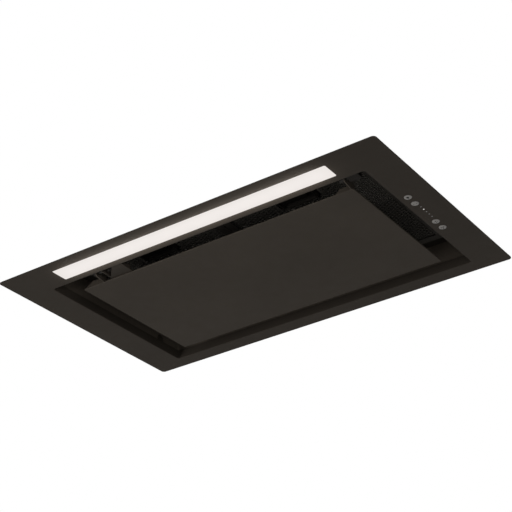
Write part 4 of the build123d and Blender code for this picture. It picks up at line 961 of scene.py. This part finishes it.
# Plates, beads, rivets and weld spots on the sheet metal
WALLS = {"front": (0, -1), "back": (0, 1), "left": (-1, 0), "right": (1, 0)}
SUNK = 0.3 * MM
SHELL_FLANGE = 9.0 * MM
LID_BEAD_W, SHELL_BEAD_W = mm(9, 10)
# the rise and the corner of each kind of pressing
PANEL, LID_BEAD, SHELL_BEAD = mm(1.4, 9), mm(1.2, 4.4), mm(1.1, 4.9)


def wall_frame(place, facing):
    """The matrix that lays a flat form on a wall: its +Z along the way the wall faces, its +Y upward."""
    out = Vector(facing).normalized()
    across = Vector(UP).cross(out).normalized()
    turn = Matrix((across, out.cross(across), out)).transposed().to_4x4()
    return Matrix.Translation(place) @ turn


def on_walls(node, reach, rows):
    """Shapes on the walls of a node's box, lifted by a reach. rows are (side, along, height, shape)."""
    half, centre = (high(node) - low(node)) / 2, middle(node)
    shapes = []
    for side, along, height, shape in rows:
        out = Vector((*WALLS[side], 0))
        spot = Vector((centre.x + out.x * half.x, centre.y + out.y * half.y, height))
        spot += Vector((-out.y, out.x, 0)) * along
        shapes.append(moved(shape, wall_frame(spot + out * reach, out)))
    return join_shapes(*shapes)


def pressing(width, height, rise, corner):
    """A raised panel pressed in sheet, with soft shoulders. It starts just under the sheet's face."""
    levels = ((0.0, -SUNK), (0.0, 0.1 * rise), (0.35 * rise, 0.45 * rise), (1.0 * rise, 0.85 * rise))
    return stack([
        (rounded_outline(width - 2 * inset, height - 2 * inset, max(corner - inset, 0.3 * MM), 6), level)
        for inset, level in levels + ((2.0 * rise, rise),)
    ])


def pad(levels, count):
    """A small plate through levels of (width, height, corner, rise), in millimetres."""
    return stack([
        (rounded_outline(width * MM, height * MM, corner * MM, count), rise * MM)
        for width, height, corner, rise in levels
    ])


def rivet(radius, height):
    """A blind rivet's domed head with the broken stem in its middle."""
    hole = radius * 0.33
    return lathe([
        (0.0, -0.4 * MM), (radius * 0.6, -0.4 * MM), (radius, 0.0), (radius * 0.93, height * 0.45),
        (radius * 0.7, height * 0.85), (hole * 1.4, height), (hole, height * 0.92), (hole, height * 0.55),
        (0.0, height * 0.62),
    ], 16)


def weld_spot(radius):
    """The shallow ring that a spot weld leaves."""
    return lathe([
        (0.0, -0.2 * MM), (radius, -0.2 * MM), (radius, 0.02 * MM), (radius * 0.86, 0.16 * MM),
        (radius * 0.66, 0.05 * MM), (0.0, 0.03 * MM),
    ], 14)


def make_casing_panels():
    """Stiffening panels on the casing's walls, the right ones short, over the electrics box."""
    base, rim = low("motor_casing").z, high("motor_casing").z
    tall, mid = rim - base - 44 * MM, (base + rim) / 2
    over_box = high("electrics_lid").z + 8 * MM
    short = rim - 12 * MM - over_box
    wide, deep, low_deep = [
        pressing(width * MM, height, *PANEL)
        for width, height in ((128, tall), (104, tall), (104, short))
    ]
    rows = [(side, along * 74 * MM, mid, wide) for side in ("front", "back") for along in (-1, 1)]
    rows += [("left", along * 62 * MM, mid, deep) for along in (-1, 1)]
    rows += [("right", along * 62 * MM, over_box + short / 2, low_deep) for along in (-1, 1)]
    new_piece("casing_pressings", *on_walls("motor_casing", -CASING_FLANGE, rows), "zinc_sheet")


def make_lid_beads():
    """Two beads on each side of the outlet and two across, in front of it."""
    front_y = COLLAR_Y - 112 * MM
    bead = pressing(LID_BEAD_W, 190 * MM, *LID_BEAD)
    cross_bead = pressing(150 * MM, LID_BEAD_W, *LID_BEAD)
    shapes = [set_at(bead, x * MM, 4 * MM, PLATE_Z) for x in (-122, -104, 104, 122)]
    shapes += [set_at(cross_bead, 0, front_y - row * 18 * MM, PLATE_Z) for row in (0, 1)]
    new_piece("lid_beads", *join_shapes(*shapes), "zinc_sheet")


def make_shell_pressings():
    """Beads on the shell's walls, a lap seam at the back, and a raised field on its top at the left."""
    top = SHELL_TOP.z
    long_bead = pressing(190 * MM, SHELL_BEAD_W, *SHELL_BEAD)
    rows = [
        (side, along * 112 * MM, level, long_bead)
        for level in (top - 22 * MM, 26 * MM) for side in ("front", "back") for along in (-1, 1)
    ]
    lap = pad(((20, 84, 1.0, -0.3), (20, 84, 1.0, 0.7), (19.6, 83.6, 0.8, 0.9)), 2)
    rows.append(("back", 0.0, 46 * MM, lap))
    new_piece("shell_pressings", *on_walls("canopy_shell", 0.0, rows), "zinc_sheet")
    side_bead = pressing(SHELL_BEAD_W, 52 * MM, *SHELL_BEAD)
    rows = [
        (side, along * 26 * MM, 50 * MM, side_bead) for side in ("left", "right") for along in (-1, 0, 1)
    ]
    new_piece("shell_side_beads", *on_walls("canopy_shell", -SHELL_FLANGE, rows), "zinc_sheet")
    field = pressing(*mm(44, 220, 1.3, 7))
    field_x = (low("motor_casing").x + low("canopy_shell").x + SHELL_FLANGE) / 2
    new_piece("shell_top_field", *set_at(field, field_x, 0, top), "zinc_sheet")


def make_rivets():
    """Rivets through the side springs and down the lap seam."""
    leaf_x = SHELL_TOP.x - SHELL_FLANGE + 0.8 * MM
    seam_y = SHELL_TOP.y + 0.9 * MM
    spots = [
        ((side * leaf_x, row + step, 52 * MM), (side, 0, 0))
        for side in (-1, 1) for row in (-60 * MM, 60 * MM) for step in (-6 * MM, 6 * MM)
    ]
    spots += [((0.0, seam_y, (14 + 21 * step) * MM), (0, 1, 0)) for step in range(4)]
    repeated("rivets", rivet(*mm(2.6, 1.1)), spots, "screw_zinc", turn=0.0)


def make_welds():
    """Spot welds along the upper edges of the shell's and the casing's walls."""
    shell_x, lid = SHELL_TOP.x - SHELL_FLANGE, high("outlet_plate")
    shell_z, casing_z = SHELL_TOP.z - 7 * MM, high("motor_casing").z - 6 * MM
    welds = []
    # each wall's half count and pitch in millimetres: front and back, then the sides
    for wall_x, wall_y, level, wide, wide_pitch, deep, deep_pitch in (
        (shell_x, SHELL_TOP.y, shell_z, 8, 27, 4, 32), (lid.x, lid.y, casing_z, 5, 28, 4, 28),
    ):
        for side in (-1, 1):
            for step in range(-wide, wide + 1):
                welds.append(((step * wide_pitch * MM, side * wall_y, level), (0, side, 0)))
            for step in range(-deep, deep + 1):
                welds.append(((side * wall_x, step * deep_pitch * MM, level), (side, 0, 0)))
    repeated("weld_spots", weld_spot(2.3 * MM), welds, "zinc_sheet", turn=0.0)


# Plugs in the recess walls, over the side screws
def make_plugs():
    wall_x = high("recess_walls").x
    thick, radius = mm(0.8, 5.95)
    profile = [(0.0, -thick), (radius, -thick), (radius, 0.0), (radius * 0.9, 0.15 * MM), (0.0, 0.25 * MM)]
    spots = [
        ((side * (wall_x - thick), row, 12.0 * MM), (-side, 0, 0)) for side in (-1, 1) for row in (-0.1, 0.1)
    ]
    repeated("screw_hole_plugs", lathe(profile, 28), spots, "black_paint", turn=0.0)


# Outlet collar: grip beads on its tube and a raised rim on its flange
def ring_of(profile, steps):
    """A closed profile turned about Z. A radius may be a rule that gives it for each turn."""
    points = [
        polar(radius(turn) if callable(radius) else radius, turn, height)
        for turn in turns_of(steps) for radius, height in profile
    ]
    return points, turned(wrap(steps, len(profile), closed=True))


def make_collar_details():
    flange_r, tube_r = mm(92.0, 74.5)
    rise, half = mm(0.35, 0.9)
    shapes = []
    for height in (22, 28, 34):
        level = PLATE_Z + height * MM
        shapes.append(ring_of([
            (tube_r - SUNK, level - half), (tube_r + rise, level - half * 0.4),
            (tube_r + rise, level + half * 0.4), (tube_r - SUNK, level + half),
        ], 96))
    face = PLATE_Z + COLLAR_FLANGE_T
    rim = ((3.2, -0.3), (0.4, -0.3), (0.6, 0.5), (1.1, 0.9), (2.5, 0.9), (3.0, 0.5))
    shapes.append(ring_of([(flange_r - inset * MM, face + lift * MM) for inset, lift in rim], 96))
    beads = set_at(join_shapes(*shapes), 0, COLLAR_Y, 0)
    new_piece("collar_beads", *beads, slot_of["outlet_collar"])


# Flaps: a curved rib near the rim and three straight ones on each upper face
def make_flap_ribs():
    flap_t, rim_r, foot_r = mm(1.5, 64.0, 13.0)
    rib_w, rib_h, sunk = mm(1.4, 0.8, 0.2)
    levels = ((rib_w, -sunk), (rib_w, 0.6 * rib_h), (0.6 * rib_w, rib_h))
    curved = stack([
        (arc((0, 0), rim_r + wide / 2, 14, 166, 44) + arc((0, 0), rim_r - wide / 2, 166, 14, 44), height)
        for wide, height in levels
    ])
    span, mid_r = rim_r - foot_r, (rim_r + foot_r) / 2
    straight = stack([(bar(wide, span, 0, mid_r), height) for wide, height in levels])
    spokes = [moved(straight, Matrix.Rotation(radians(turn), 4, "Z")) for turn in (-50, 0, 50)]
    ribs = join_shapes(curved, *spokes)
    for word, turn in (("front", pi), ("rear", 0.0)):
        node = "flap_" + word
        place = Matrix.Translation((0, COLLAR_Y, low(node).z + flap_t))
        piece = moved(ribs, place @ Matrix.Rotation(turn, 4, "Z"))
        new_piece(node + "_ribs", *piece, slot_of[node], node)


# Electrics box: a raised field and screws on the lid, louvres and clips on the outer wall
def make_box_details():
    bottom, top, centre = extent("electrics_lid")
    width, depth = top.x - bottom.x, top.y - bottom.y
    field = pressing(width - 22 * MM, depth - 24 * MM, 0.9 * MM, 4 * MM)
    slat_levels = ((1.7, 20, -0.3), (1.7, 20, 0.5), (0.9, 19, 1.0))
    slat = stack([(bar(wide * MM, tall * MM), rise * MM) for wide, tall, rise in slat_levels])
    clip = pad(((12, 9, 1.0, -0.3), (12, 9, 1.0, 0.9), (10.6, 6, 0.8, 1.5)), 3)
    slat_z, clip_z = middle("electrics_box").z - 1 * MM, top.z - 6 * MM
    rows = [("right", (number * 4.6 - 34) * MM, slat_z, slat) for number in range(13)]
    rows += [("right", along * MM, clip_z, clip) for along in (-56, 50)]
    shapes = [set_at(field, centre.x, centre.y, top.z), on_walls("electrics_box", 0.0, rows)]
    new_piece("electrics_box_fittings", *join_shapes(*shapes), slot_of["electrics_box"])
    inset = 5.2 * MM
    spots = [
        ((centre.x + side * (width / 2 - inset), centre.y + row * (depth / 2 - inset), top.z), UP)
        for side in (-1, 1) for row in (-1, 1)
    ]
    repeated("lid_screws", pan_screw(*mm(2.8, 1.8, 1.4, 5)), spots, "screw_zinc", seed=4)


# Cable gland: a hexagon against the wall, a ridged nut, a domed end with an open bore
def make_gland():
    node = "cable_gland"
    wall_y = high("electrics_box").y
    corner_r, neck_r, bore_r, inner_r = mm(9.0, 7.2, 4.2, 6.0)
    hex_end, neck_end, nut_end, dome_start = mm(4.4, 5.0, 8.9, 9.2)
    inner, out = wall_y - low(node).y, high(node).y - wall_y

    def hexagon(turn):
        return corner_r * cos(pi / 6) / cos(turn % (pi / 3) - pi / 6)

    def worn_hexagon(turn):
        return min(hexagon(turn), corner_r * 0.94)

    def ridged(turn):
        return (8.3 + 0.3 * cos(24 * turn)) * MM

    profile = [
        (bore_r, -inner), (inner_r, -inner), (inner_r, 0.0), (hexagon, 0.0), (hexagon, 3.9 * MM),
        (worn_hexagon, hex_end), (neck_r, hex_end), (neck_r, neck_end), (ridged, neck_end), (ridged, nut_end),
    ]
    for share in (0.0, 0.25, 0.5, 0.75, 1.0):
        swing = share * pi / 2
        profile.append((5.0 * MM + 2.9 * MM * cos(swing), dome_start + (out - dome_start) * sin(swing)))
    profile.append((bore_r, out - 0.3 * MM))
    place = wall_frame((middle(node).x, wall_y, middle(node).z), (0, 1, 0))
    new_piece("gland_body", *moved(ring_of(profile, 48), place), slot_of[node], HOOD, [node])


make_camera()
make_stage()
make_light()
make_buttons()
make_indicators()
make_springs()
make_filter_meshes()
make_casing_screws()
make_casing_panels()
make_lid_beads()
make_shell_pressings()
make_rivets()
make_welds()
make_plugs()
make_collar_details()
make_flap_ribs()
make_box_details()
make_gland()
